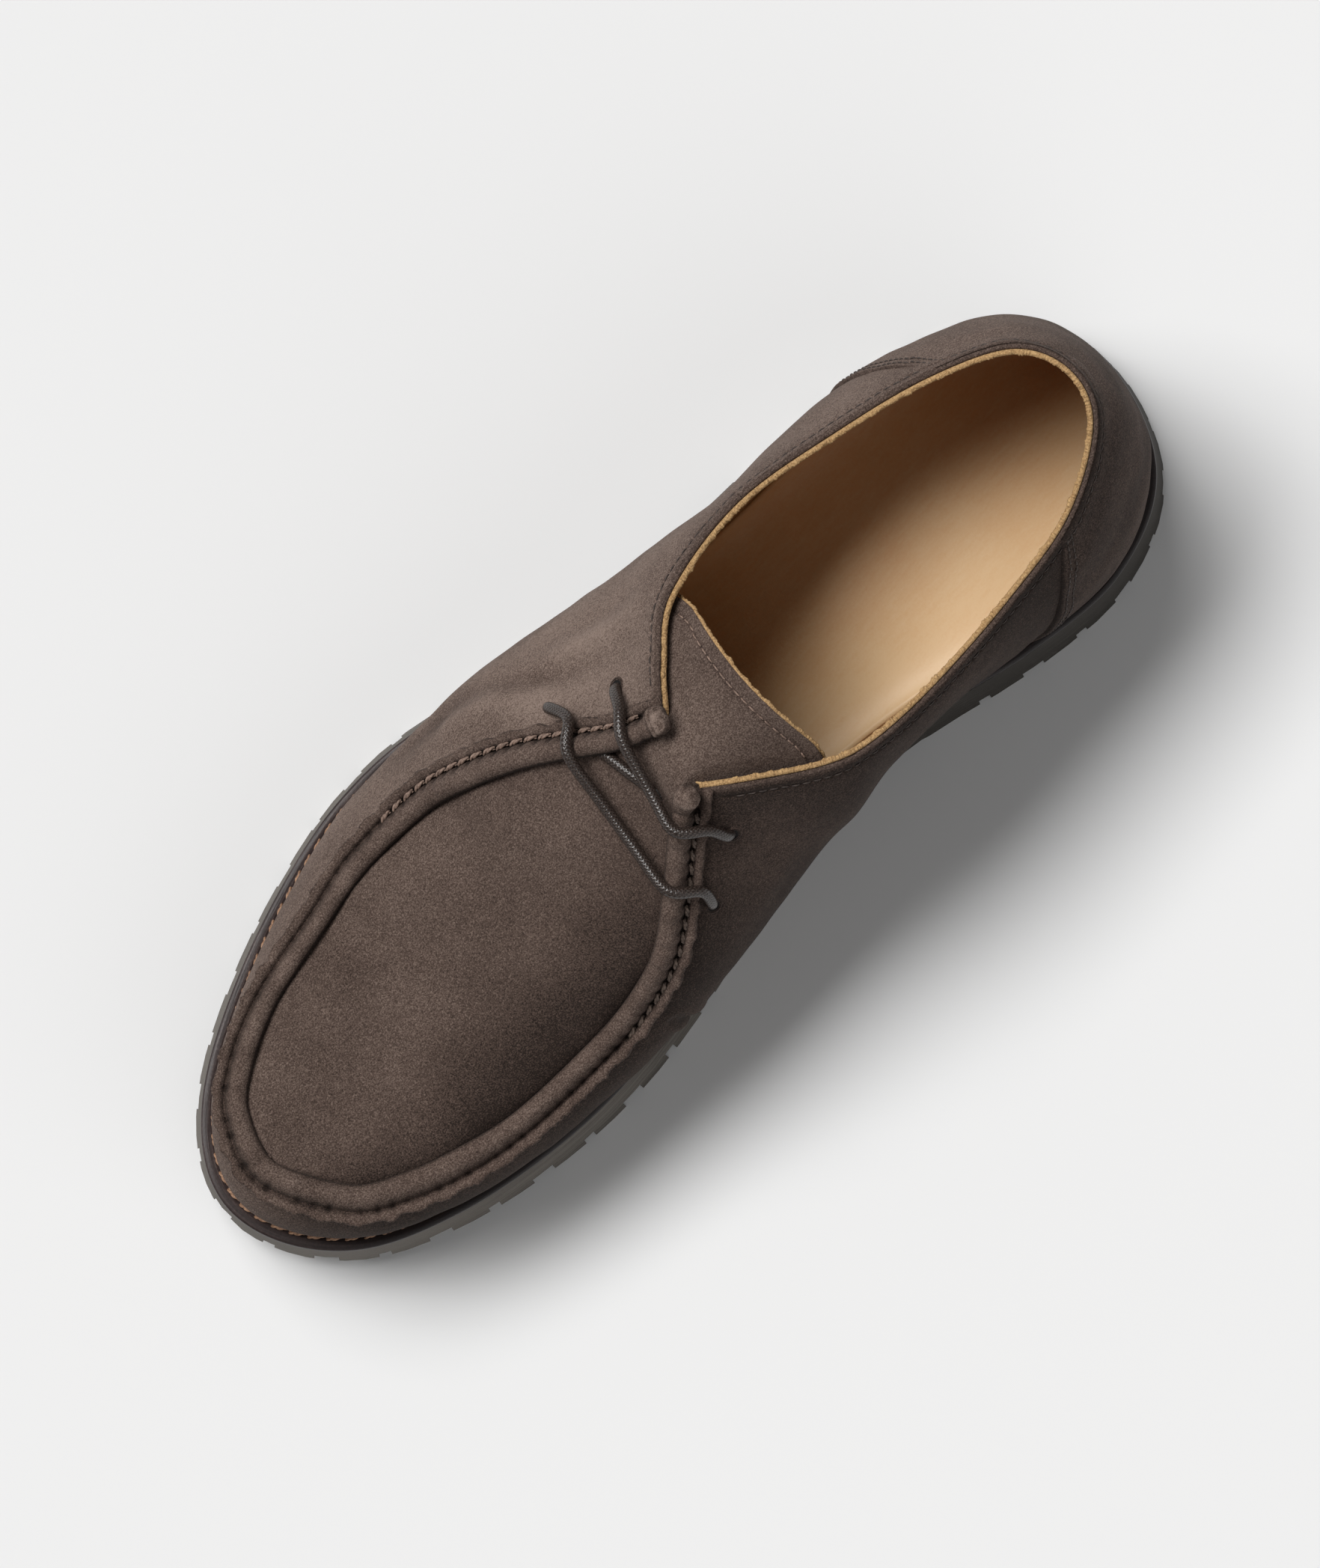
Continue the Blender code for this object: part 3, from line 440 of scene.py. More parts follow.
# colours a material by a value's stops and gives it relief
def dress(tree, shader, value, stops, relief=None, strength=0.0, distance=0.0):
    node = addNode(tree, "ValToRGB", value)
    elements = node.color_ramp.elements
    while len(elements) < len(stops):
        elements.new(0.5)
    for element, (position, colour) in zip(elements, stops):
        element.position = position
        element.color = (*colour, 1.0)
    tree.links.new(node.outputs["Color"], shader.inputs["Base Color"])
    if relief is not None:
        bump = addNode(tree, "Bump", Strength=strength, Distance=distance, Height=relief)
        tree.links.new(bump.outputs["Normal"], shader.inputs["Normal"])


suedeLook = {"dark": (0.018, 0.0115, 0.009), "main": (0.086, 0.058, 0.0465), "light": (0.235, 0.175, 0.145)}


def makeSuede():
    material, tree, shader = newMaterial("suede", 0.93, 0.2)
    shader.inputs["Sheen Weight"].default_value = 0.035
    shader.inputs["Sheen Roughness"].default_value = 0.45
    shader.inputs["Sheen Tint"].default_value = (0.75, 0.66, 0.58, 1.0)
    spot = place(tree)
    patches = noiseNode(tree, spot, 70.0, 3.0, 0.55)
    nap = noiseNode(tree, place(tree, (1.0, 1.35, 0.8), turn=(0.3, 0.2, 0.6)), 720.0, 3.0, 0.65)
    grain = noiseNode(tree, spot, 2500.0, 3.0, 0.72)
    value = sumNode(tree, (patches, 0.2, 0.39), (nap, 0.3, -0.15), (grain, 1.65, -0.825), (toneNode(tree), 1.0, 0.0))
    relief = sumNode(tree, (nap, 0.7, 0.0), (grain, 0.6, 0.0))
    dress(tree, shader, value, threeStops(suedeLook, 0.12, 0.5, 0.95), relief, 0.55, 0.00035)
    return material


# the sock's dark stop is mainly the colour of its painted shade towards the outer wall
sockLook = {"dark": (0.54, 0.25, 0.08), "main": (0.635, 0.437, 0.238), "light": (0.69, 0.49, 0.275)}
# the lining's darker, more saturated tan is partly its own colour and partly painted shade inside the shoe
liningLook = {"dark": (0.20, 0.098, 0.036), "main": (0.30, 0.158, 0.062), "light": (0.36, 0.20, 0.085)}


def makeTanLeather(name, look, roughness):
    material, tree, shader = newMaterial(name, roughness, 0.4)
    spot = place(tree)
    cloud = noiseNode(tree, spot, 28.0, 4.0, 0.6)
    fibre = noiseNode(tree, place(tree, (0.35, 1.6, 1.6)), 520.0, 4.0, 0.7)
    pore = noiseNode(tree, spot, 1500.0, 2.0, 0.5)
    value = sumNode(tree, (cloud, 0.3, 0.35), (fibre, 0.2, -0.1), (pore, 0.12, -0.06), (toneNode(tree), 1.0, 0.0))
    relief = sumNode(tree, (fibre, 0.6, 0.0), (pore, 0.5, 0.0))
    dress(tree, shader, value, threeStops(look, 0.1, 0.5, 0.9), relief, 0.12, 0.0003)
    return material


rubberLook = {"dark": (0.045, 0.04, 0.0345), "main": (0.146, 0.131, 0.114), "light": (0.23, 0.21, 0.186)}


def makeRubber():
    material, tree, shader = newMaterial("rubberSole", 0.68, 0.15)
    spot = place(tree)
    lines = noiseNode(tree, place(tree, (26.0, 26.0, 1500.0)), 1.0, 3.0, 0.75)
    cloud = noiseNode(tree, spot, 60.0, 3.0, 0.6)
    grain = noiseNode(tree, spot, 1700.0, 2.0, 0.6)
    # the brushed lines fade out at heel and toe
    reach = mathNode(tree, "ABSOLUTE", addNode(tree, "SeparateXYZ", spot).outputs[0])
    fade = addNode(tree, "MapRange", reach, 0.132, 0.095).outputs["Result"]
    brushed = mathNode(tree, "MULTIPLY", sumNode(tree, (lines, 1.0, -0.5)), fade)
    value = sumNode(tree, (brushed, 1.15, 0.5), (cloud, 0.2, -0.1), (grain, 0.25, -0.125), (toneNode(tree), 1.0, 0.0))
    relief = sumNode(tree, (brushed, 1.0, 0.0), (grain, 0.25, 0.0))
    dress(tree, shader, value, threeStops(rubberLook, 0.15, 0.5, 0.95), relief, 0.35, 0.0003)
    return material


# the cord's light stop gives painted glints on the wax specks
cordLook = {"dark": (0.006, 0.0042, 0.0036), "main": (0.027, 0.018, 0.0145), "light": (0.15, 0.118, 0.102)}


def makeCord():
    material, tree, shader = newMaterial("waxedCord", 0.30, 0.5)
    # the light tips of the wax specks are painted glints; the same noise gives the bump
    waxAndGlints = noiseNode(tree, place(tree, space="UV"), 2600.0, 2.0, 0.6)
    value = sumNode(tree, (waxAndGlints, 0.6, 0.2), (toneNode(tree), 1.0, 0.0))
    dress(tree, shader, value, threeStops(cordLook, 0.2, 0.55, 0.82), waxAndGlints, 0.4, 0.0001)
    return material


weltLook = {"dark": (0.014, 0.0085, 0.008), "main": (0.038, 0.0245, 0.0225), "light": (0.14, 0.105, 0.097)}


def makeWelt():
    material, tree, shader = newMaterial("weltLeather", 0.42, 0.35)
    # the lengthwise light streaks are partly leather grain and partly painted gloss highlights
    streak = noiseNode(tree, place(tree, (45.0, 1700.0, 1.0), "UV"), 1.0, 4.0, 0.65)
    speck = noiseNode(tree, place(tree, space="UV"), 1300.0, 2.0, 0.6)
    value = sumNode(tree, (streak, 1.3, -0.15), (speck, 0.5, -0.25), (toneNode(tree), 1.0, 0.0))
    relief = sumNode(tree, (streak, 1.0, 0.0), (speck, 0.3, 0.0))
    dress(tree, shader, value, threeStops(weltLook, 0.15, 0.55, 1.0), relief, 0.4, 0.0003)
    return material


def makePlain(name, dark, light, scale, roughness, strength, distance, detail=3.0):
    material, tree, shader = newMaterial(name, roughness, 0.35)
    value = noiseNode(tree, place(tree), scale, detail, 0.6)
    dress(tree, shader, value, [(0.3, dark), (0.7, light)], value, strength, distance)
    return material


suede = makeSuede()
lining = makeTanLeather("liningLeather", liningLook, 0.6)
sock = makeTanLeather("sockLeather", sockLook, 0.46)
rubber = makeRubber()
waxedCord = makeCord()
weltLeather = makeWelt()
rawEdge = makePlain("rawLeatherEdge", (0.24, 0.125, 0.05), (0.64, 0.42, 0.20), 1900.0, 0.9, 0.9, 0.0004, 5.0)
tanThread = makePlain("tanThread", (0.17, 0.088, 0.05), (0.42, 0.25, 0.155), 1600.0, 0.6, 0.4, 0.0002)
seamThread = makePlain("seamThread", (0.09, 0.056, 0.042), (0.34, 0.235, 0.185), 1400.0, 0.65, 0.4, 0.0002)
# a darker copy of the seam thread: painted shade on the stitches of the inner side
shadedInnerThread = makePlain("shadedInnerThread", (0.04, 0.027, 0.021), (0.15, 0.108, 0.086), 1400.0, 0.7, 0.4, 0.0002)
darkThread = makePlain("darkThread", (0.026, 0.018, 0.015), (0.075, 0.054, 0.045), 1500.0, 0.6, 0.4, 0.0002)
holeDark = makePlain("holeShadow", (0.003, 0.002, 0.002), (0.008, 0.006, 0.005), 900.0, 0.95, 0.2, 0.0002)
treadEdge = makePlain("treadEdge", (0.16, 0.125, 0.09), (0.30, 0.24, 0.18), 900.0, 0.7, 0.2, 0.0002)
print("materials made")

# Wall of vamp and quarters
skin = {
    "seamColumns": 470,
    "collarColumns": 350,
    "lowRows": 50,
    "topRows": 16,
    "topShare": 0.9,
    "seamCrest": 0.06,
    "collarCrest": 0.014,
    "rowBelow": 0.0030,      # collar stitch row below the edge
    "channel": 0.00035,
    "waves": [(0.0001, 0.034, 3), (0.00006, 0.013, 4)],
    # inward and up in mm: the rolled rim of the collar, and the same rows hidden under the seam's strip
    "rim": [(0.02, -0.55), (0.12, -0.2), (0.4, 0.0), (0.8, 0.04), (1.15, -0.12), (1.35, -0.6), (1.4, -3.0)],
    "hiddenRim": [(-2.3, -0.6), (-1.9, -0.5), (-1.4, -0.5), (-0.9, -0.5), (-0.5, -0.6), (-0.2, -0.9), (0.2, -1.6)],
    # the tones are partly painted light: a lighter bent nap round the facing corner with a painted highlight; painted
    # shade at the foot, along the collar rim, in the stitch channel and under the seam's strip; painted shade in
    # creases and painted light on ridges; painted light on the outer side and painted shade on the inner side
    "tones": {"bentNapHighlight": 0.15, "foot": -0.16, "rim": -0.07, "crease": -130.0, "channel": -120.0, "strip": -0.06,
              "outer": 0.15, "inner": 0.3},
    # side, x and z of both ends, width, depth of soft creases; below zero is a ridge
    "creases": [
        (-1, -0.024, 0.086, -0.004, 0.070, 0.0032, -0.0010),
        (-1, -0.010, 0.080, 0.010, 0.066, 0.0030, 0.0007),
        (-1, 0.006, 0.074, 0.026, 0.055, 0.0034, -0.0011),
        (-1, 0.018, 0.052, 0.042, 0.038, 0.0040, 0.0008),
        (1, 0.040, 0.052, 0.032, 0.026, 0.0016, 0.0014),
        (1, 0.020, 0.060, 0.026, 0.034, 0.0050, 0.0002),
        (1, -0.016, 0.082, 0.004, 0.064, 0.0036, -0.0003),
        (1, -0.028, 0.070, -0.008, 0.048, 0.0060, 0.0002),
        (-1, -0.060, 0.060, -0.030, 0.044, 0.0070, 0.0007),
    ],
}


def creaseDepth(points):
    depth = np.zeros(points.shape[:-1])
    flat = points[..., [0, 2]]
    for side, x0, z0, x1, z1, width, deep in skin["creases"]:
        a, b = np.array([x0, z0]), np.array([x1, z1])
        t = np.clip(((flat - a) @ (b - a)) / ((b - a) @ (b - a)), 0, 1)
        away = np.linalg.norm(flat - (a + t[..., None] * (b - a)), axis=-1)
        mask = ease((points[..., 1] * side - 0.004) / 0.01) * np.sin(np.pi * np.clip(t, 0.06, 0.94)) ** 0.5
        depth += mask * deep * (bell(away, width) - 0.45 * bell(away - 1.9 * width, width))
    return depth


# painted light on the outer side, which faces the key lamps, and painted shade on the inner side, fading out at the
# foot
def sideLightAndShade(out, outer, inner, shares):
    return np.where(out < 0, -out * outer, -out * inner) * ease(shares / 0.3)


# rows of points along the top line, from places inward and up in mm
def rimPoints(rows, hiddenRows, sink=0.0):
    mix = onCollar[:, None, None]
    rim = np.array(rows)[None] / 1000 * mix + np.array(hiddenRows)[None] / 1000 * (1 - mix)
    return ringTop[:, None] + ringIn[:, None] * rim[..., :1] + ringUp[:, None] * (rim[..., 1:] - sink * mix)


seamKeys, seamLength = evenKeys(seamRows, skin["seamColumns"] + 1)
collarKeys, collarLength = evenKeys(collarRows, skin["collarColumns"] + 1)
lines = [wallRibs(seamRows, seamKeys), wallRibs(collarRows, collarKeys)]
ringRibs = {name: np.concatenate([line[name][:-1] for line in lines]) for name in lines[0]}
ringIn, ringUp = [np.concatenate([topFrame(line)[part][:-1] for line in lines]) for part in (0, 1)]
ringTop, ringOut = ringRibs["top"], ringRibs["out"]
onCollar = np.repeat([0.0, 1.0], [skin["seamColumns"], skin["collarColumns"]])
ringCount = len(onCollar)
walkedRing = np.concatenate([np.linspace(0, seamLength, skin["seamColumns"] + 1)[:-1],
                             seamLength + np.linspace(0, collarLength, skin["collarColumns"] + 1)[:-1]])
corners = [walkedRing, np.abs(walkedRing - seamLength), seamLength + collarLength - walkedRing]
cornerDistance = np.minimum.reduce(corners)

crest = skin["seamCrest"] * (0.3 + 0.7 * ease(cornerDistance / 0.006))
crest = 1 - np.where(onCollar > 0, skin["collarCrest"], crest)
low = np.linspace(0, skin["topShare"], skin["lowRows"], endpoint=False)
high = (crest[:, None] - skin["topShare"]) * np.linspace(0, 1, skin["topRows"])
shares = np.concatenate([np.broadcast_to(low, (ringCount, skin["lowRows"])), skin["topShare"] + high], 1)
wall = wallPoints(ringRibs, shares)

# ease the fold that runs down from each facing corner
pulses = np.fft.rfftfreq(ringCount)
for row in range(wall.shape[1]):
    spread = 16 * (1 - shares[:, row].mean()) + 1.5
    damping = np.exp(-2 * (np.pi * pulses * spread) ** 2)[:, None]
    smoothed = np.fft.irfft(np.fft.rfft(wall[:, row], axis=0) * damping, ringCount, axis=0)
    blend = (bell(cornerDistance, 0.03) * (1 - ease((shares[:, row] - 0.9) / 0.08)))[:, None]
    wall[:, row] = wall[:, row] * (1 - blend) + smoothed * blend

wallNormals = gridNormals(wall, ringOut[:, None], wrap=True)
below = np.linalg.norm(wall - ringTop[:, None], axis=-1)
edgeFade = ease(shares / 0.12) * ease((1 - shares) / 0.1 + 0.25)
creases = creaseDepth(wall) * edgeFade
channel = skin["channel"] * bell(below - skin["rowBelow"], 0.0005) * onCollar[:, None]
channel *= ease(np.minimum(cornerDistance, 0.02)[:, None] / 0.004)
wall = wall + wallNormals * (softWaves(wall, skin["waves"]) * edgeFade - creases - channel)[..., None]
skinGrid = np.concatenate([wall, rimPoints(skin["rim"], skin["hiddenRim"])], 1)

tones = skin["tones"]
fromFacing = np.linalg.norm(wall[..., [0, 2]] - np.array([-0.008, 0.078]), axis=-1)
# lighter bent nap round the facing corner with a painted highlight, and painted shade at the wall's foot by the welt
tone = tones["bentNapHighlight"] * bell(fromFacing, 0.02) + tones["foot"] * (1 - ease(shares / 0.09))
# painted shade along the collar's rolled rim
tone += tones["rim"] * onCollar[:, None] * bell(below, 0.0042) + 0.03 * softNoise(wall, 0.03, 8)
# painted shade in the creases and the stitch channel, painted light on the ridges
tone += creases * tones["crease"] + channel * tones["channel"]
# painted light on the outer side of the wall and painted shade on its inner side
tone += sideLightAndShade(ringOut[:, 1:2], tones["outer"], tones["inner"], shares)
# painted shade on the wall just under the seam's strip
tone += tones["strip"] * (1 - onCollar)[:, None] * bell((1 - shares) * 0.05, 0.004)
# the rolled rim rows get the same painted shade
skinTone = np.pad(tone, ((0, 0), (0, len(skin["rim"]))), constant_values=-0.05)
upperSkin = addPiece("upperSkin", skinGrid, [suede], skinTone, wrap=(True, False))
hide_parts("upper")
print("upper skin", len(upperSkin.data.polygons))

# Lining inside the wall, with its raw edge showing along the collar
liningCut = {
    "depth": 0.0023,
    "rows": 40,
    "sink": 0.0014,
    # inward and up in mm, from the lining over the edge to the suede, and the same rows hidden under the seam
    "edge": [(2.68, -1.0), (2.76, -0.15), (2.6, 0.26), (2.1, 0.42), (1.62, 0.3), (1.4, -0.05), (1.35, -0.9)],
    "hiddenEdge": [(2.4, -4.0), (2.4, -3.9), (2.3, -3.8), (2.2, -3.7), (2.1, -3.7), (2.0, -3.8), (1.9, -3.9)],
    "fray": [(0.00007, 0.0009, 21, 60), (0.00013, 0.0035, 22, 40), (0.00008, 0.014, 23)],
    "frayInward": [0.3, 1.0, 1.0, 0.5, 0.2, 0.0, 0.0],
    "frayUp": [0.0, 0.5, 1.0, 1.2, 1.0, 0.4, 0.0],
}


# share of the raw edge that is sunk: it goes under towards the facings
def sunkShare(keys):
    return 1 - np.interp(keys, [0, 1.3, 2.2, 14.35, 14.75, 15], [0.1, 0.2, 1.0, 1.0, 0.1, 0.0])


linerShares = np.linspace(0, 1, liningCut["rows"])[None] * np.where(onCollar > 0, 0.972, 0.9)[:, None]
linerBase = wallPoints(ringRibs, linerShares)
liner = linerBase - gridNormals(linerBase, ringOut[:, None], wrap=True) * liningCut["depth"]
liner[:, 0, 2] = jointHeight(liner[:, 0, 0]) + shoe["gap"]
ringKeys = np.concatenate([np.zeros(skin["seamColumns"]), collarKeys[:-1]])
sunk = (liningCut["sink"] * sunkShare(ringKeys) + 0.0004)[:, None, None]
linerGrid = np.concatenate([liner, rimPoints(liningCut["edge"], liningCut["hiddenEdge"], sunk)], 1)
zones = np.tile(np.arange(linerGrid.shape[1] - 1) >= liningCut["rows"], ringCount).astype(int)
linerPiece = addPiece("collarLining", linerGrid, [lining, rawEdge], wrap=(True, False), zones=zones)
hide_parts("upper")

# the raw edge once more, fine enough for its fibres
brimKeys, _ = evenKeys(collarRows, 2000)
brimLine = wallRibs(collarRows, brimKeys)
brimIn, brimUp = topFrame(brimLine)
brimSunk = sunkShare(brimKeys)[:, None]
fray = softWaves(np.linspace(0, collarLength, len(brimKeys)), liningCut["fray"])[:, None]
edge = np.array(liningCut["edge"])[None] / 1000
brimInward = edge[..., 0] - 0.0003 * brimSunk + fray * np.array(liningCut["frayInward"])
brimLift = edge[..., 1] - liningCut["sink"] * brimSunk + fray[::-1] * np.array(liningCut["frayUp"])
brimGrid = brimLine["top"][:, None] + brimIn[:, None] * brimInward[..., None] + brimUp[:, None] * brimLift[..., None]
addPiece("collarRawEdge", brimGrid, [rawEdge])
print("lining", len(linerPiece.data.polygons))

# Rolled moc seam: raw strip, stitched groove and suede roll
seam = {
    "columns": 940,
    "overrun": 0.0012,
    "pitch": 0.0040,
    # inward and up in mm, from the strip's raw edge to the roll's underside
    "profile": [(-3.0, -1.3), (-3.02, -0.6), (-3.0, 0.15), (-2.85, 0.62), (-2.45, 0.86), (-1.8, 0.92), (-1.15, 0.82),
                (-0.65, 0.5), (-0.3, 0.1), (0.0, -0.25), (0.28, 0.15), (0.5, 0.95), (0.85, 2.0), (1.4, 3.05),
                (2.15, 3.85), (3.05, 4.3), (4.0, 4.3), (4.9, 3.9), (5.6, 3.2), (6.05, 2.35), (6.2, 1.5), (6.0, 0.85),
                (5.4, 0.55), (4.2, 0.5)],
    # place on the seam table, width and height of the roll
    "roll": [(0, 1.0, 0.92), (2, 1.02, 0.98), (4, 0.95, 0.98), (6, 0.95, 0.95), (7, 1.1, 0.95), (8.5, 1.1, 0.95),
             (10, 1.1, 0.95), (11, 0.97, 0.92), (12, 0.92, 0.92), (13, 0.84, 0.95), (14, 0.8, 0.98), (15, 0.9, 1.02),
             (16, 1.02, 1.08), (17, 1.1, 1.08), (18, 1.1, 1.02), (20, 1.0, 0.95), (21, 0.97, 0.92)],
    # place on the seam table, depth of the stitch dimples
    "dimples": [(0, 0.85), (4, 0.8), (5.5, 0.4), (8.5, 0.35), (9.8, 0.55), (11, 0.5), (12.3, 0.25), (15, 0.25),
                (16.2, 1.0), (21, 1.0)],
    "ragged": [(0.0002, 0.006, 31), (0.00009, 0.0016, 32)],
    "lumps": [(0.00014, 0.012, 34), (0.00008, 0.005, 35)],
    "middle": (0.0031, 0.0019),      # the roll's centre, inward and up
}
step = seamLength / seam["columns"]
ends = int(round(seam["overrun"] / step))
overKeys, _ = evenKeys(seamRows, seam["columns"])
line = wallRibs(seamRows, overKeys)
tangent = unit(np.gradient(line["top"], axis=0))
seamIn, seamUp = [np.pad(part, ((ends, ends), (0, 0)), "edge") for part in topFrame(line)]
over = np.arange(1, ends + 1)[:, None] * step
seamTop = line["top"]
path = np.concatenate([seamTop[:1] - tangent[:1] * over[::-1], seamTop, seamTop[-1:] + tangent[-1:] * over])
walkedSeam = np.concatenate([-over[::-1, 0], np.linspace(0, seamLength, seam["columns"]), seamLength + over[:, 0]])
keysOver = np.pad(overKeys, ends, "edge")
uneven = 1 + 0.5 * softNoise(walkedSeam, 0.012, 37) * ease((keysOver - 5) / 1.5) * ease((15.5 - keysOver) / 1.5)
dimple = bell(np.mod(walkedSeam, seam["pitch"]) - seam["pitch"] / 2, 0.0009) * tableCurve(seam["dimples"], keysOver)
dimple = (dimple * np.clip(uneven, 0.15, 1.8))[:, None]
profile = np.array(seam["profile"]) / 1000
fromGroove = profile[:, 0]
isRoll = fromGroove > 0.0002
nearGroove = bell(fromGroove - 0.0001, 0.0008)
rawPart = bell(fromGroove + 0.003, 0.0008)
rollPart = bell(fromGroove - 0.0035, 0.002)
ragged = softWaves(walkedSeam, seam["ragged"]) * (1 + 0.3 * bell(keysOver - 10, 2.5))
inward = fromGroove * np.where(isRoll, tableCurve(seam["roll"], keysOver)[:, None], 1.0)
inward = inward + dimple * bell(fromGroove - 0.0011, 0.0009) * 0.00028 + ragged[:, None] * rawPart
lift = profile[:, 1] * np.where(isRoll, tableCurve(seam["roll"], keysOver, 2)[:, None], 1.0)
lift = lift - dimple * nearGroove * 0.00095 + 0.00012 * softNoise(walkedSeam, 0.004, 33)[:, None] * rawPart
lift = lift + softWaves(walkedSeam, seam["lumps"])[:, None] * rollPart

# the roll's ends: a round neck under the knob on the inner facing, a square folded end on the outer one
fromStart = walkedSeam - walkedSeam[0]
fromEnd = walkedSeam[-1] - walkedSeam
knob = 1.08 * np.sqrt(np.clip(1 - (1 - fromStart / 0.003) ** 2, 0, 1))
neck = 1.08 - 0.34 * bell(fromStart - 0.0064, 0.0011) - 0.08 * ease((fromStart - 0.004) / 0.006)
square = np.clip(1 - (1 - np.clip(fromEnd / 0.0012, 0, 1)) ** 3, 0, 1) ** 0.5
square = square * (1 - 0.16 * bell(fromEnd - 0.0032, 0.0006) - 0.12 * bell(fromEnd - 0.0066, 0.0007))
size = (np.where(fromStart < 0.003, knob, neck) * square)[:, None]
stripEnd = np.clip(np.minimum(fromStart, fromEnd) / 0.0012, 0, 1)[:, None] ** 0.5
middleIn, middleUp = seam["middle"]
inward = np.where(isRoll, middleIn + (inward - middleIn) * size, inward)
lift = np.where(isRoll, middleUp + (lift - middleUp) * size, -0.0008 + (lift + 0.0008) * stripEnd)
seamGrid = path[:, None] + seamIn[:, None] * inward[..., None] + seamUp[:, None] * lift[..., None]
# painted light on the roll's crown; painted shade in the groove with its stitch dimples and on the roll's underside; a
# darker line along the strip's raw edge
underRollShade = (0.2 + 0.24 * ease((keysOver - 10.8) / 1.2))[:, None] * (fromGroove > 0.0058)
seamTone = 0.05 * rollPart + 0.02 * softNoise(walkedSeam, 0.015, 36)[:, None] - (0.16 + 0.4 * dimple) * nearGroove
seamTone = seamTone - 0.16 * bell(fromGroove + 0.0031, 0.00025) - underRollShade
mocSeam = addPiece("mocSeam", seamGrid, [suede], seamTone)
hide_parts("upper")
print("moc seam", len(mocSeam.data.polygons))


# end of the roll: a lumpy ball with pinched creases; size is along, across, up and the power of its roundness
def rollEnd(name, centre, axes, size, pinch, seed, rings=40, steps=56):
    polar = np.linspace(0.02, np.pi - 0.02, rings)[:, None]
    angle = np.linspace(0, 2 * np.pi, steps, endpoint=False)
    wide = np.sin(polar)
    shape = np.stack(np.broadcast_arrays(np.cos(polar), wide * np.cos(angle), wide * np.sin(angle)), -1)
    shape = np.sign(shape) * np.abs(shape) ** size[3]
    dent = 1 + 0.03 * softNoise(shape, 0.9, seed)
    for spot, deep, width in pinch:
        dent = dent - deep * bell(shape[..., 0] - spot, width)
    shape = shape * dent[..., None]
    # lighter on top, partly worn suede and partly painted light; painted shade underneath and in the pinches
    tone = 0.16 * shape[..., 2] + 0.02 + 2.5 * (dent - 1)
    addPiece(name, centre + (shape * size[:3]) @ np.array(axes), [suede], tone, wrap=(False, True))


knobAxes = (unit(path[0] - path[6]), seamIn[0], seamUp[0])
blockAxes = (unit(path[-1] - path[-7]), seamIn[-1], seamUp[-1])
knobAt = path[ends] + np.array([0.0004, 0.0031, 0.0030]) @ np.array(knobAxes) + up * 0.0017
blockAt = path[-1 - ends] + np.array([0.0006, 0.0026, 0.0021]) @ np.array(blockAxes)
rollEnd("rollKnob", knobAt, knobAxes, (0.0032, 0.0032, 0.0031, 1.0), [(-0.66, 0.14, 0.14)], 71)
rollEnd("rollBlock", blockAt, blockAxes, (0.0030, 0.0036, 0.0023, 0.72), [(-0.1, 0.1, 0.09), (-0.62, 0.12, 0.1)], 72)

# hand stitches in the groove, in sight along both facings
handStitch = {
    "run": (0.0033, 0.0005, 0.0004, 11, 0.006, 0.004),      # length, lift, slant, points, room at start and end
    "twist": (0.00026, 0.9),
    "radius": 0.0004,
    "innerEnd": 4.4,
    "outerStart": 15.4,
    "proud": [(0, 0.75), (3.5, 0.7), (5, 0.0), (15, 0.0), (16.3, 1.0), (21, 1.0)],      # place on the seam table, share
}
proud = tableCurve(handStitch["proud"], overKeys)[:, None]
grooveIn, grooveUp = seamIn[ends:-ends], seamUp[ends:-ends]
groove = seamTop + grooveIn * 0.00005 + grooveUp * (-0.00012 + 0.00052 * proud)
grooveOut = unit(grooveUp * 0.8 - grooveIn * 0.6)
paths, normals, centres = stitchPaths(groove, grooveOut, seam["pitch"], *handStitch["run"])
stitchKeys = np.interp(centres, np.linspace(0, seamLength, len(overKeys)), overKeys)
# the inner side's stitches take the darker copy of the thread as painted shade
for name, shown, thread in (("mocStitchesInner", stitchKeys < handStitch["innerEnd"], shadedInnerThread),
                            ("mocStitches", stitchKeys > handStitch["outerStart"], seamThread)):
    strands, sides = twoStrands(paths[shown], normals[shown], *handStitch["twist"])
    grooveStitches = addThreads(name, strands, sides, handStitch["radius"], [thread])
print("moc stitches", len(grooveStitches.data.polygons))

# Apron and tongue in one sheet
apron = {
    "sections": 230,
    "tongueSections": 46,
    "arch": 84,
    "tuckVamp": 0.06,
    "tuckFacing": 0.2,
    "clear": 0.0009,
    "rollWidth": 0.0064,
    "underRoll": 0.0011,
    "rimRound": 0.0012,
    "endOuter": 0.39,
    "endInner": 0.405,
    "hollow": 0.003,
    "thickness": 0.0018,
    "pillow": 0.0024,
    "pillowReach": 0.0030,
    "tipRow": 0.0036,      # stitch row along the tongue's tip
    "waves": [(0.00035, 0.045, 41), (0.00015, 0.016, 42)],
    "fray": [(0.00008, 0.0009, 44, 50), (0.00012, 0.005, 45)],
}


def branchKey(table, start, end, along):
    keys = np.linspace(start, end, 400)
    reached = wallRibs(table, keys)["top"][:, 0] / shoe["length"] + 0.5
    order = np.argsort(reached)
    return float(np.interp(along, reached[order], keys[order]))


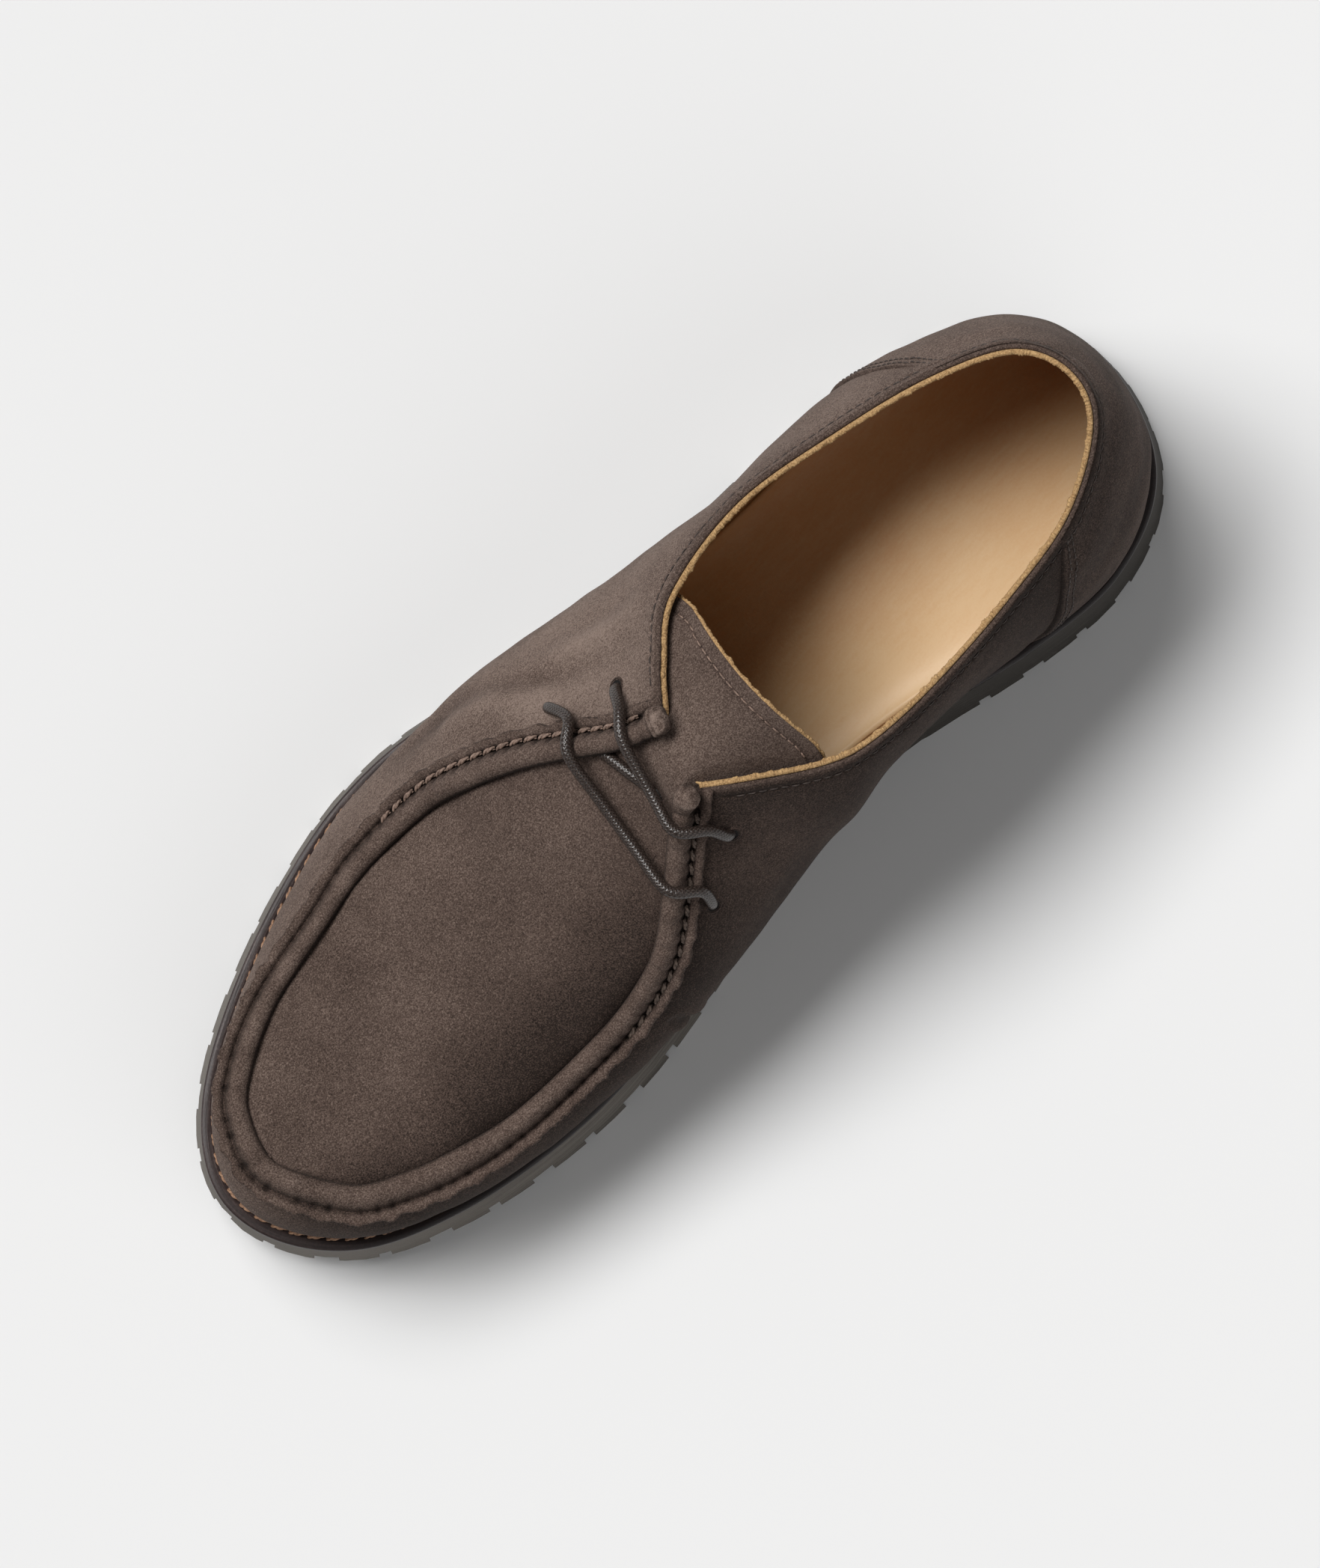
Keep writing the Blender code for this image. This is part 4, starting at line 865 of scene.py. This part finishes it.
def seamShare(table, key):
    if table is collarRows:
        return np.zeros(len(key))
    top = wallRibs(table, key)["top"]
    ends = wallRibs(table, np.array([0.0, len(table) - 1.0]))["top"]
    share = np.clip(np.linalg.norm(top[:, None] - ends[None], axis=-1).min(1) / 0.0075, 0, 1)
    return 0.12 + 0.88 * share * (2 - share)


def frameAt(table, key):
    ahead = wallRibs(table, np.minimum(key + 0.08, len(table) - 1.0))["top"]
    behind = wallRibs(table, np.maximum(key - 0.08, 0.0))["top"]
    return squareFrame(unit(ahead - behind), wallRibs(table, key)["out"])


# the sheet's flank: tucked inside the wall, round under the rim and out to the roll's inner crease
def flankPoints(table, key, tuck, facing):
    weight = seamShare(table, key)[:, None]
    inward, rise = frameAt(table, key)
    top = wallRibs(table, key)["top"]
    clear = (apron["clear"] * (1 + 0.6 * facing))[:, None]
    depth = shoe["wall"] + clear
    tucked = [0.91 + 0.045 * facing - tuck * part for part in (1.0, 0.5, 0.0)]
    result = [wallAt(table, key, share) - wallNormal(table, key, share) * depth for share in tucked]
    lift = apron["underRoll"] * weight - apron["rimRound"] * (1 - weight) - clear
    result.append(top + inward * depth + rise * lift)
    reach = np.full((len(key), 1), apron["rollWidth"] - shoe["gap"])
    if table is seamRows:
        reach = np.maximum(0.0062 * tableCurve(seam["roll"], key)[:, None] - 0.0008, depth + 0.0006)
    result.append(top + inward * reach + rise * (lift + apron["rimRound"] * (1 - weight)))
    return np.stack(result, 1)


# one side's flank from the toe along the seam and on along the collar, with the share of the tongue's length
def apronHalf(side):
    table = seamRows
    last = len(table) - 1
    share = 0.012 + 0.988 * np.linspace(0, 1, apron["sections"]) ** 1.1
    facing = np.clip((share - 0.62) / 0.2, 0, 1)
    tuck = apron["tuckVamp"] + (apron["tuckFacing"] - apron["tuckVamp"]) * facing
    keys = toeKey + (last - toeKey) * share if side < 0 else toeKey * (1 - share)
    body = flankPoints(table, keys, tuck, facing)
    end = len(collarRows) - 1.0
    part = np.linspace(0, 1, apron["tongueSections"] + 1)[1:]
    if side < 0:
        collar = branchKey(collarRows, 0, 5, apron["endOuter"]) * part
    else:
        collar = end + (branchKey(collarRows, end - 5, end, apron["endInner"]) - end) * part
    tongue = flankPoints(collarRows, collar, apron["tuckFacing"] * (1 - 0.6 * part), np.ones(len(part)))
    return np.concatenate([body, tongue]), np.concatenate([np.zeros(len(share)), part])


leftFlank, tonguePart = apronHalf(-1)
rightFlank, _ = apronHalf(1)
edgeA, edgeB = leftFlank[:, -1], rightFlank[:, -1]
middleAlong = (edgeA[:, 0] + edgeB[:, 0]) / 2 / shoe["length"] + 0.5
crownHeight = tableCurve(crownRows, middleAlong) * shoe["instep"]
rise = np.maximum(crownHeight - (edgeA[:, 2] + edgeB[:, 2]) / 2, 0.0)
pillow = apron["pillow"] * ease((middleAlong - 0.53) / 0.1)
t = 0.5 - 0.5 * np.cos(np.pi * np.linspace(0, 1, apron["arch"] + 1)[1:-1])
arch = edgeA[:, None] * (1 - t)[None, :, None] + edgeB[:, None] * t[None, :, None]
fromSide = np.minimum(t, 1 - t)[None] * np.linalg.norm(edgeB - edgeA, axis=-1)[:, None]
reach = apron["pillowReach"] * (1 + 0.7 * ease((0.62 - t) / 0.3))[None]
puff = pillow[:, None] * (1 - np.exp(-(fromSide / reach) ** 1.4))
arch[..., 2] += np.maximum(rise - pillow, 0.0)[:, None] * (1 - np.abs(2 * t - 1) ** 2.2) + puff
arch[..., 0] += apron["hollow"] * tonguePart[:, None] * (1 - (2 * t - 1) ** 2)
apronGrid = np.concatenate([leftFlank, arch, rightFlank[:, ::-1]], 1)
for _ in range(6):  # calm the sections where toe and tongue join
    inner = apronGrid[1:-1] * 0.5 + apronGrid[:-2] * 0.25 + apronGrid[2:] * 0.25
    apronGrid = np.concatenate([apronGrid[:1], inner, apronGrid[-1:]])


def tonguePlace(x):
    return ease((0.012 - x) / 0.02)


calm = tonguePlace(apronGrid[:, 2:-2, 0:1])
for _ in range(60):
    middle = apronGrid[:, 2:-2] * 0.5 + (apronGrid[:, 1:-3] + apronGrid[:, 3:-1]) * 0.25
    apronGrid[:, 2:-2] += (middle - apronGrid[:, 2:-2]) * calm

apronNormal = gridNormals(apronGrid, up)
column = np.arange(apronGrid.shape[1])
inner = ease((np.minimum(column, column[::-1]) - 4) / 9.0)[None]
apronGrid = apronGrid + apronNormal * (softWaves(apronGrid, apron["waves"]) * inner)[..., None]
fromTip = np.linalg.norm(apronGrid - apronGrid[-1:], axis=-1)
placeX, placeY = apronGrid[..., 0], apronGrid[..., 1]
apronTone = 0.022 * softNoise(apronGrid, 0.028, 43) + 0.01 * inner + 0.06 * tonguePlace(placeX)
# painted shade on the flanks by the roll's crease and across the throat
apronTone -= 0.25 * (1 - inner) * ease((placeX - 0.012) / 0.02) + 0.04 * bell(placeX - 0.016, 0.012)
# painted shade on the inner side of the plug, away from the key lamps
apronTone -= 0.3 * ease((placeY - 0.004) / 0.03) * ease((placeX - 0.01) / 0.03)
# painted shade in the stitch row at the tongue's tip
apronTone -= 0.22 * bell(fromTip - apron["tipRow"], 0.0004)
apronGrid = apronGrid - apronNormal * (0.0003 * bell(fromTip - apron["tipRow"], 0.0005))[..., None]
underSuede = np.where(apronGrid[:-1, :-1, 0] > 0.03, 2, 0).ravel()      # the sheet is lined under the tongue only
apronPiece = addPiece("apronTongue", apronGrid, [suede, lining, suede], apronTone, zones=underSuede, away=up)
thicken(apronPiece, apron["thickness"]).material_offset = 1
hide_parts("apron_tongue")
print("apron and tongue", len(apronPiece.data.polygons))

tipColumns = np.arange(6, apronGrid.shape[1] - 6)
tipRows = np.argmin(np.abs(fromTip[:, tipColumns] - apron["tipRow"]), axis=0)
middleRow = np.argmin(np.abs(fromTip[:, apronGrid.shape[1] // 2] - apron["tipRow"]))
paths, normals, _ = stitchPaths(apronGrid[tipRows, tipColumns], apronNormal[middleRow, 6:-6], 0.0027, 0.0021, 0.0002)
addThreads("tongueStitches", paths + normals[:, None] * 0.00002, normals, 0.00024, [seamThread], 6)
brim = apronGrid[-1, 3:-3]
walkedBrim = walkedAlong(brim)
fineBrim = np.linspace(0, walkedBrim[-1], 620)
fray = softWaves(fineBrim, apron["fray"])[:, None]
brim = pickAlong(fineBrim, walkedBrim, brim) + np.array([-0.00035, 0.0, -0.0009]) + np.array([-1.0, 0.0, 0.4]) * fray
addThreads("tongueRawEdge", brim[None], up[None], 0.00058, [rawEdge], 9, slot="tan_leather")

# Heel counter laid on the quarters
counter = {
    "footOuter": 0.206,
    "footInner": 0.222,
    "topOuter": 0.108,
    "topInner": 0.137,
    "thickness": 0.0013,
    "rows": 70,
    "columns": 170,
    "seamRows": (0.0021, 0.0043),      # stitch rows behind the front edges
    "waves": [(0.0002, 0.03, 51), (0.0001, 0.012, 52)],
}
fineKeys = np.linspace(0, len(collarRows) - 1.0, 1500)
fineTurn = wallRibs(collarRows, fineKeys)["turn"]
signed = (1 - np.cos(fineTurn)) / 2 * np.where(np.sin(fineTurn) > 0, -1.0, 1.0)
rows = np.concatenate([[0.0, 0.006], np.linspace(0.02, 0.96, counter["rows"]), [0.97, 0.979, 0.986, 0.992, 0.996]])
columns = np.concatenate([[0.0, 0.0015, 0.004, 0.008], np.linspace(0.014, 0.986, counter["columns"]),
                          [0.992, 0.996, 0.9985, 1.0]])
edgeOuter, edgeInner = [counter["foot" + side] + (counter["top" + side] - counter["foot" + side]) * rows
                        for side in ("Outer", "Inner")]
startKey = np.interp(-edgeOuter, signed, fineKeys)
endKey = np.interp(edgeInner, signed, fineKeys)
flatKeys = (startKey[:, None] + (endKey - startKey)[:, None] * columns[None]).ravel()
shape = (len(rows), len(columns), 3)
counterShares = np.repeat(rows[:, None], len(columns), 1)
counterBase = wallAt(collarRows, flatKeys, counterShares.ravel()).reshape(shape)
counterNormal = wallNormal(collarRows, flatKeys, counterShares.ravel()).reshape(shape)
across = np.linalg.norm(np.diff(counterBase, axis=1), axis=-1)
fromLeft = np.concatenate([np.zeros((len(rows), 1)), np.cumsum(across, 1)], 1)
fromRight = fromLeft[:, -1:] - fromLeft
fromFront = np.minimum(fromLeft, fromRight)
fromTop = np.linalg.norm(counterBase - wallAt(collarRows, flatKeys, 1.0).reshape(shape), axis=-1)
border = np.clip(np.minimum(fromFront / 0.0009, fromTop / 0.0016), 0, 1)
slim = 0.3 + 0.7 * ease((fromTop - 0.002) / 0.014)
trough = sum(bell(fromFront - spot, 0.00045) for spot in counter["seamRows"])
topRow = bell(fromTop - skin["rowBelow"], 0.0005)
thick = counter["thickness"] * slim * np.sqrt(1 - (1 - border) ** 2) - 0.0001 - 0.0002 * trough - 0.0003 * topRow
counterGrid = counterBase + counterNormal * (thick + softWaves(counterBase, counter["waves"]) * border)[..., None]
# painted shade in the stitch troughs, in the top stitch row and along the counter's edges
counterTone = 0.03 * softNoise(counterBase, 0.03, 53) - 0.06 * trough - 0.08 * topRow - 0.05 - 0.24 * (1 - border)
# painted light on the counter's outer side and painted shade on its inner side
counterTone += sideLightAndShade(counterNormal[..., 1], 0.19, 0.15, counterShares)
# painted shade at the foot and along the collar rim
counterTone -= 0.16 * (1 - ease(counterShares / 0.09)) + 0.08 * bell(fromTop, 0.0042)
counterPiece = addPiece("heelCounter", counterGrid, [suede], counterTone)
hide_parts("heel_counter")
print("heel counter", len(counterPiece.data.polygons))

# stitch rows along the counter's front edges, then the row below the collar edge
rowStitch = {"pitch": 0.0025, "topPitch": 0.0027, "gap": 0.0006, "lift": 0.00022, "radius": 0.00021}
runs = []
inside = np.arange(3, len(rows) - 5)
half = len(columns) // 2
for spot in counter["seamRows"]:
    for start, side in ((0, fromLeft[:, :half]), (half, fromRight[:, half:])):
        spots = start + np.argmin(np.abs(side[inside] - spot), axis=1)
        runs.append((counterGrid[inside, spots], counterNormal[inside, spots], rowStitch["pitch"]))
ring = np.arange(skin["seamColumns"] + 4, ringCount - 4)
spots = np.argmin(np.abs(below - skin["rowBelow"]), axis=1)[ring]
topRun, topNormals = wall[ring, spots], wallNormals[ring, spots]
nearHeel = np.interp(collarKeys[4:-5], fineKeys, signed)
hidden = (nearHeel > -counter["topOuter"] - 0.004) & (nearHeel < counter["topInner"] + 0.004)
first, last = np.flatnonzero(hidden)[[0, -1]]
heel = np.arange(2, len(columns) - 2)
spots = np.argmin(np.abs(fromTop - skin["rowBelow"]), axis=0)[heel]
for run, normals in ((topRun[:first], topNormals[:first]), (topRun[last:], topNormals[last:]),
                     (counterGrid[spots, heel], counterNormal[spots, heel])):
    runs.append((run, normals, rowStitch["topPitch"]))
threads = [stitchPaths(*run, run[2] - rowStitch["gap"], rowStitch["lift"]) for run in runs]
paths, normals = [np.concatenate([thread[part] for thread in threads]) for part in (0, 1)]
addThreads("collarStitches", paths, normals, rowStitch["radius"], [darkThread], 6)
print("collar and counter stitches", len(paths))

# Welt strip, flush with the sole
welt = {
    "columns": 720,
    "thickness": 0.0035,
    "width": 0.0135,
    "corner": 0.0006,
    # share of the reveal and height of the strip's face
    "face": [(0.35, 0.0001), (0.62, 0.0), (0.8, -0.0003), (1.0, -0.0004)],
    "stitchOpen": 0.62,      # half of the heel's angle that has no stitches
    # painted shade on the welt's inner side
    "innerShade": -0.4,
}
turns = np.linspace(0, 2 * np.pi, welt["columns"], endpoint=False)
edgeInset = flare(turns)
c, deep = welt["corner"], welt["thickness"]
weltProfile = [(0.0, -deep), (-0.0001, -deep * 0.5), (0.0, -c), (c * 0.3, -c * 0.3), (c, 0.0)]
weltProfile += [((footInset(turns) - edgeInset) * share, lift) for share, lift in welt["face"]]
weltProfile += [(welt["width"], 0.0), (welt["width"], -deep)]
weltGrid = np.stack([insetPoint(turns, edgeInset + inset) for inset, _ in weltProfile], 1)
weltGrid[..., 2] += jointHeight(weltGrid[..., 0]) + np.array([lift for _, lift in weltProfile])
roundWelt = np.cumsum(np.linalg.norm(np.roll(weltGrid[:, 4], 1, 0) - weltGrid[:, 4], axis=-1))
acrossWelt = np.cumsum(np.linalg.norm(weltGrid - np.roll(weltGrid, 1, 1), axis=-1), axis=1)
weltUv = np.stack(np.broadcast_arrays(roundWelt[:, None], acrossWelt), -1)
# painted shade on the inner side, where the wall shades the welt
weltShade = welt["innerShade"] * np.clip(outwardOf(turns)[:, 1:2], 0, 1) * np.ones(weltGrid.shape[:2])
weltPiece = addPiece("weltStrip", weltGrid, [weltLeather], weltShade, wrap=(True, True), uv=weltUv)
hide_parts("welt")

# welt stitches in the corner between upper and welt, open at the heel
stitchTurns = np.linspace(welt["stitchOpen"], 2 * np.pi - welt["stitchOpen"], 1600)
base = insetPoint(stitchTurns, footInset(stitchTurns) - 0.0007)
base[:, 2] = jointHeight(base[:, 0]) + 0.00035
weltUp = unit(outwardOf(stitchTurns) * 0.35 + up)
paths, normals, _ = stitchPaths(base, weltUp, 0.0046, 0.0043, 0.0006, 0.00045, 13)
addThreads("weltStitches", *twoStrands(paths, normals, 0.00024, 1.1), 0.00038, [tanThread])
print("welt and stitches")

# Sole: the solid's own form with crisp edges worn to a pale line
# the sole's tones are painted shade on its inner side and at its back
soleLook = {"worn": 0.00028, "wornAngle": 32.0, "innerShade": -0.42, "backShade": -0.3}
soleCopy = bpy.data.meshes.new("soleRubber")
soleMesh = bmesh.new()
soleMesh.from_mesh(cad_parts["outsole"].data)
bmesh.ops.remove_doubles(soleMesh, verts=soleMesh.verts, dist=0.00002)
bmesh.ops.dissolve_limit(soleMesh, angle_limit=math.radians(1.0), verts=soleMesh.verts, edges=soleMesh.edges)
spots = np.array([vert.co[:] for vert in soleMesh.verts])
outlineTurns = np.linspace(0, 2 * np.pi, 1440, endpoint=False)
outline = groundPoint(outlineTurns)[:, :2]
nearest = np.argmin(((spots[:, None, :2] - outline[None]) ** 2).sum(-1), axis=1)
nearTurn = outlineTurns[nearest]
facing = outwardOf(nearTurn)
fromEdge = np.linalg.norm(spots[:, :2] - outline[nearest], axis=-1)
extra = (shoe["flareSide"] - shoe["flareOuter"]) * np.sin(nearTurn) ** 2 * (np.sin(nearTurn) > 0)
extra = extra * ease((0.012 - fromEdge) / 0.006) * np.clip(spots[:, 2] / (jointHeight(spots[:, 0]) - 0.0035), 0, 1)
for vert, move in zip(soleMesh.verts, facing * extra[:, None]):
    vert.co += Vector(move)
soleMesh.to_mesh(soleCopy)
soleMesh.free()
# painted shade on the sole's inner side and round the back of the heel
soleShade = soleLook["innerShade"] * np.clip(facing[:, 1], 0, 1) * ease((0.04 - spots[:, 0]) / 0.07)
addTone(soleCopy, soleShade + soleLook["backShade"] * np.clip(-facing[:, 0], 0, 1))
soleCopy.materials.clear()
soleCopy.materials.append(rubber)
soleCopy.materials.append(treadEdge)
for polygon in soleCopy.polygons:
    polygon.material_index = 0
soleCopy.shade_smooth()
solePiece = linkObject("soleRubber", soleCopy)
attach(solePiece, "root")
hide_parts("outsole")
bevel = solePiece.modifiers.new("wornEdges", "BEVEL")
bevel.width = soleLook["worn"]
bevel.segments = 2
bevel.limit_method = "ANGLE"
bevel.angle_limit = math.radians(soleLook["wornAngle"])
bevel.material = 1
bevel.use_clamp_overlap = True
level = solePiece.modifiers.new("evenShade", "WEIGHTED_NORMAL")
level.keep_sharp = False
level.weight = 80
print("sole", len(soleCopy.polygons))

# Insole inside the lining
# the insole's tone is painted shade towards the outer wall
insole = {"edge": 0.0016, "lift": 0.0033, "stations": 200, "columns": 60, "thickness": 0.002, "cup": 0.0024,
          "tone": -0.34}
angles = np.linspace(0.06, np.pi - 0.06, insole["stations"])
left, right = [insetPoint(turn, footInset(turn) + insole["edge"]) for turn in (angles, 2 * np.pi - angles)]
t = np.linspace(0, 1, insole["columns"])
sheet = left[:, None] * (1 - t)[None, :, None] + right[:, None] * t[None, :, None]
cup = insole["cup"] * (np.abs(2 * t - 1) ** 9)[None]
sheet[..., 2] = jointHeight(sheet[..., 0]) + insole["lift"] + cup + 0.00018 * softNoise(sheet[..., :2], 0.04, 61)
# painted shade over the insole, deepening towards the outer wall
sockShade = insole["tone"] * ease((0.9 - t) / 0.8)[None] * np.ones(sheet.shape[:2])
insolePiece = addPiece("insoleSock", sheet, [sock], sockShade, away=up)
thicken(insolePiece, insole["thickness"])
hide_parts("insole")
print("insole")

# Lace through four punched eyelets
lace = {
    "radius": 0.00145,
    # name, place of inner and outer eyelet, share of the wall's height, drift of the crossings on the roll, sag
    "bars": [("lower", 0.549, 0.529, 0.87, 0.005, 0.010, 0.0016),
             ("upper", 0.499, 0.478, 0.86, -0.005, -0.005, 0.0008)],
    # x, y and height over the crown of the run under the facings
    "under": [(0.0075, -0.020, -0.011), (0.0060, -0.012, -0.0034), (0.0050, -0.004, 0.0001), (0.0040, 0.004, 0.0007),
              (0.0026, 0.012, -0.0006), (0.0012, 0.020, -0.009)],
    "strands": 9,
    "twist": 980.0,
    "relief": 0.00007,
    "dense": 0.00014,
    "sides": 48,
}


def calmLine(spots, rounds):
    for _ in range(rounds):
        spots[1:-1] = spots[1:-1] * 0.5 + (spots[:-2] + spots[2:]) * 0.25
    return spots


# braided cord along a route
def cordTube(name, route):
    route = np.asarray(route, float)
    chord = walkedAlong(route)
    places = np.linspace(0, chord[-1], 240)
    spots = calmLine(np.stack([smoothCurve(chord, route[:, axis], places) for axis in range(3)], -1), 60)
    chord = walkedAlong(spots)
    count = int(chord[-1] / lace["dense"])
    walked = np.linspace(0, chord[-1], count)
    spots = calmLine(pickAlong(walked, chord, spots), 8)
    tangent = unit(np.gradient(spots, axis=0))
    side = np.empty_like(spots)
    side[0] = unit(np.cross(tangent[0], up))
    for index in range(1, count):
        step = side[index - 1] - tangent[index] * (side[index - 1] @ tangent[index])
        side[index] = step / np.linalg.norm(step)
    other = np.cross(tangent, side)
    angle = np.arange(lace["sides"]) * 2 * np.pi / lace["sides"]
    turned = walked[:, None] * lace["twist"] * 2 * np.pi
    braid = np.maximum(np.sin(lace["strands"] * angle[None] + turned), np.sin(lace["strands"] * angle[None] - turned))
    size = lace["radius"] * 0.95 + lace["relief"] * braid
    taper = np.clip(np.minimum(walked, walked[-1] - walked) / 0.0008, 0.2, 1)[:, None]
    ring = side[:, None] * np.cos(angle)[None, :, None] + other[:, None] * np.sin(angle)[None, :, None]
    points = spots[:, None] + ring * (size * taper)[..., None]
    uv = np.stack(np.broadcast_arrays(walked[:, None], angle[None] * lace["radius"]), -1)
    # painted shade between the braid's strands, lighter on their tops
    return addPiece(name, points, [waxedCord], 0.16 * (braid - 0.3), wrap=(False, True), uv=uv)


eyelets = []
r = lace["radius"]
for name, innerAlong, outerAlong, share, innerDrift, outerDrift, sag in lace["bars"]:
    ends = []
    for start, stop, along, drift in ((0, toeKey, innerAlong, innerDrift),
                                      (toeKey, len(seamRows) - 1.0, outerAlong, outerDrift)):
        key, cross = [np.array([branchKey(seamRows, start, stop, place)]) for place in (along, along - drift)]
        inward, rise = [part[0] for part in frameAt(seamRows, cross)]
        top = wallRibs(seamRows, cross)["top"][0]
        hole = wallAt(seamRows, key, share)[0]
        normal = wallNormal(seamRows, key, share)[0]
        eyelets.append((hole, normal))
        # out of the hole, up the flank and over the roll
        outside = hole + normal * (r * 0.9) + unit(top - hole) * 0.0012
        overRoll = [top + rise * (high + r) + inward * reach
                    for high, reach in ((0.0018, -0.0032), (0.0045, 0.0018), (0.0045, 0.0052))]
        ends.append([hole - normal * 0.006, hole - normal * 0.002, outside, *overRoll])
    a, b = ends[0][-1], ends[1][-1]
    middle = [a * (1 - part) + b * part - up * sag * deep for part, deep in ((0.3, 1.0), (0.5, 1.3), (0.7, 1.0))]
    piece = cordTube("laceBar_" + name, ends[0] + middle + ends[1][::-1])
    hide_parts("lace_bar_" + name)

# run under the facings, seen between them
crowns = [tableCurve(crownRows, x / shoe["length"] + 0.5) * shoe["instep"] for x, _, _ in lace["under"]]
cordTube("laceUnder", [(x, y, crown + r + rise) for crown, (x, y, rise) in zip(crowns, lace["under"])])
print("laces")

# punched eyelets: a dark cup of painted shade in the hole and a lip of suede round the cord, darkened towards the hole
# as painted shade
eyelet = {
    "radius": 0.0019,
    "sides": 36,
    # size, height and tone of each ring; the inner two bands are the dark cup of painted shade, and the tones are
    # painted shade on the lip
    "rings": [(0.0, 0.0001, 0), (0.55, 0.00011, 0), (0.86, 0.00013, 0), (0.95, 0.0002, -0.45), (1.03, 0.00024, -0.32),
              (1.14, 0.00017, -0.2), (1.28, 0.00001, -0.1), (1.45, -0.0004, -0.08)],
}
angle = np.arange(eyelet["sides"]) * 2 * np.pi / eyelet["sides"]
zones = np.repeat([1, 1, 0, 0, 0, 0, 0], eyelet["sides"])
tone = np.repeat([shade for _, _, shade in eyelet["rings"]], eyelet["sides"])
for index, (hole, normal) in enumerate(eyelets):
    side = unit(np.cross(normal, np.array([0.3, 0.2, 1.0])))
    ring = side[None] * np.cos(angle)[:, None] + np.cross(normal, side)[None] * np.sin(angle)[:, None]
    points = np.stack([hole + ring * eyelet["radius"] * size + normal * lift for size, lift, _ in eyelet["rings"]])
    addPiece("eyelet_%d" % index, points, [suede, holeDark], tone, wrap=(False, True), zones=zones, away=normal)
print("eyelets")

# Floor and light
studio = {
    "floor": (0.80, 0.80, 0.80),
    "key": 3.2,
    "keyAngle": 24.0,
    "keyFrom": (0.09, -0.60, 1.0),
    "keySpread": 0.23,
    "side": 0.6,
    "sideAngle": 70.0,
    "sideFrom": (0.05, 1.0, 0.7),
    "fill": 0.115,
}
floorMesh = bpy.data.meshes.new("studioFloor")
size = 6.0
floorMesh.from_pydata([(-size, -size, 0), (size, -size, 0), (size, size, 0), (-size, size, 0)], [], [(0, 1, 2, 3)])
floorPiece = linkObject("studioFloor", floorMesh)
floorMaterial, tree, shader = newMaterial("studioPaper", 0.9, 0.1)
shade = noiseNode(tree, place(tree), 3.0, 2.0, 0.5)
dress(tree, shader, shade, [(0.0, studio["floor"]), (1.0, tuple(v * 1.01 for v in studio["floor"]))])
floorMesh.materials.append(floorMaterial)

world = bpy.data.worlds.new("studioWorld")
bpy.context.scene.world = world
world.use_nodes = True
world.node_tree.nodes["Background"].inputs["Color"].default_value = (1.0, 1.0, 1.0, 1.0)
world.node_tree.nodes["Background"].inputs["Strength"].default_value = studio["fill"]


def addSun(name, energy, angle, direction, colour):
    light = bpy.data.lights.new(name, "SUN")
    light.energy = energy
    light.angle = math.radians(angle)
    light.color = colour
    lamp = linkObject(name, light)
    lamp.rotation_euler = Vector(direction).to_track_quat("Z", "Y").to_euler()


for number, shift in enumerate((-1, 0, 1)):
    x, y, z = studio["keyFrom"]
    direction = (x + shift * studio["keySpread"], y, z)
    addSun("keyLight_%d" % number, studio["key"] / 3, studio["keyAngle"], direction, (1.0, 0.998, 0.994))
addSun("sideLight", studio["side"], studio["sideAngle"], studio["sideFrom"], (1.0, 1.0, 1.0))

# Camera: straight above the pair's middle, turned to this shoe, toe to the lower left
view = {"from": (0.0205, 0.1173, 3.0), "aim": (0.001, 0.004, 0.03), "up": (-0.7193, -0.6947, 0.0), "high": 0.384}
camera = bpy.data.cameras.new("shoeCamera")
cameraObject = linkObject("shoeCamera", camera)
back = (Vector(view["from"]) - Vector(view["aim"])).normalized()
right = Vector(view["up"]).cross(back).normalized()
turned = Matrix((right, back.cross(right), back)).transposed().to_4x4()
cameraObject.matrix_world = Matrix.Translation(view["from"]) @ turned
camera.sensor_fit = "VERTICAL"
camera.sensor_height = 36.0
camera.lens = 36.0 * (Vector(view["from"]) - Vector(view["aim"])).length / view["high"]
camera.clip_end = 20.0
bpy.context.scene.camera = cameraObject
bpy.context.scene.view_settings.view_transform = "Standard"
print("light and camera")

bpy.context.view_layer.update()
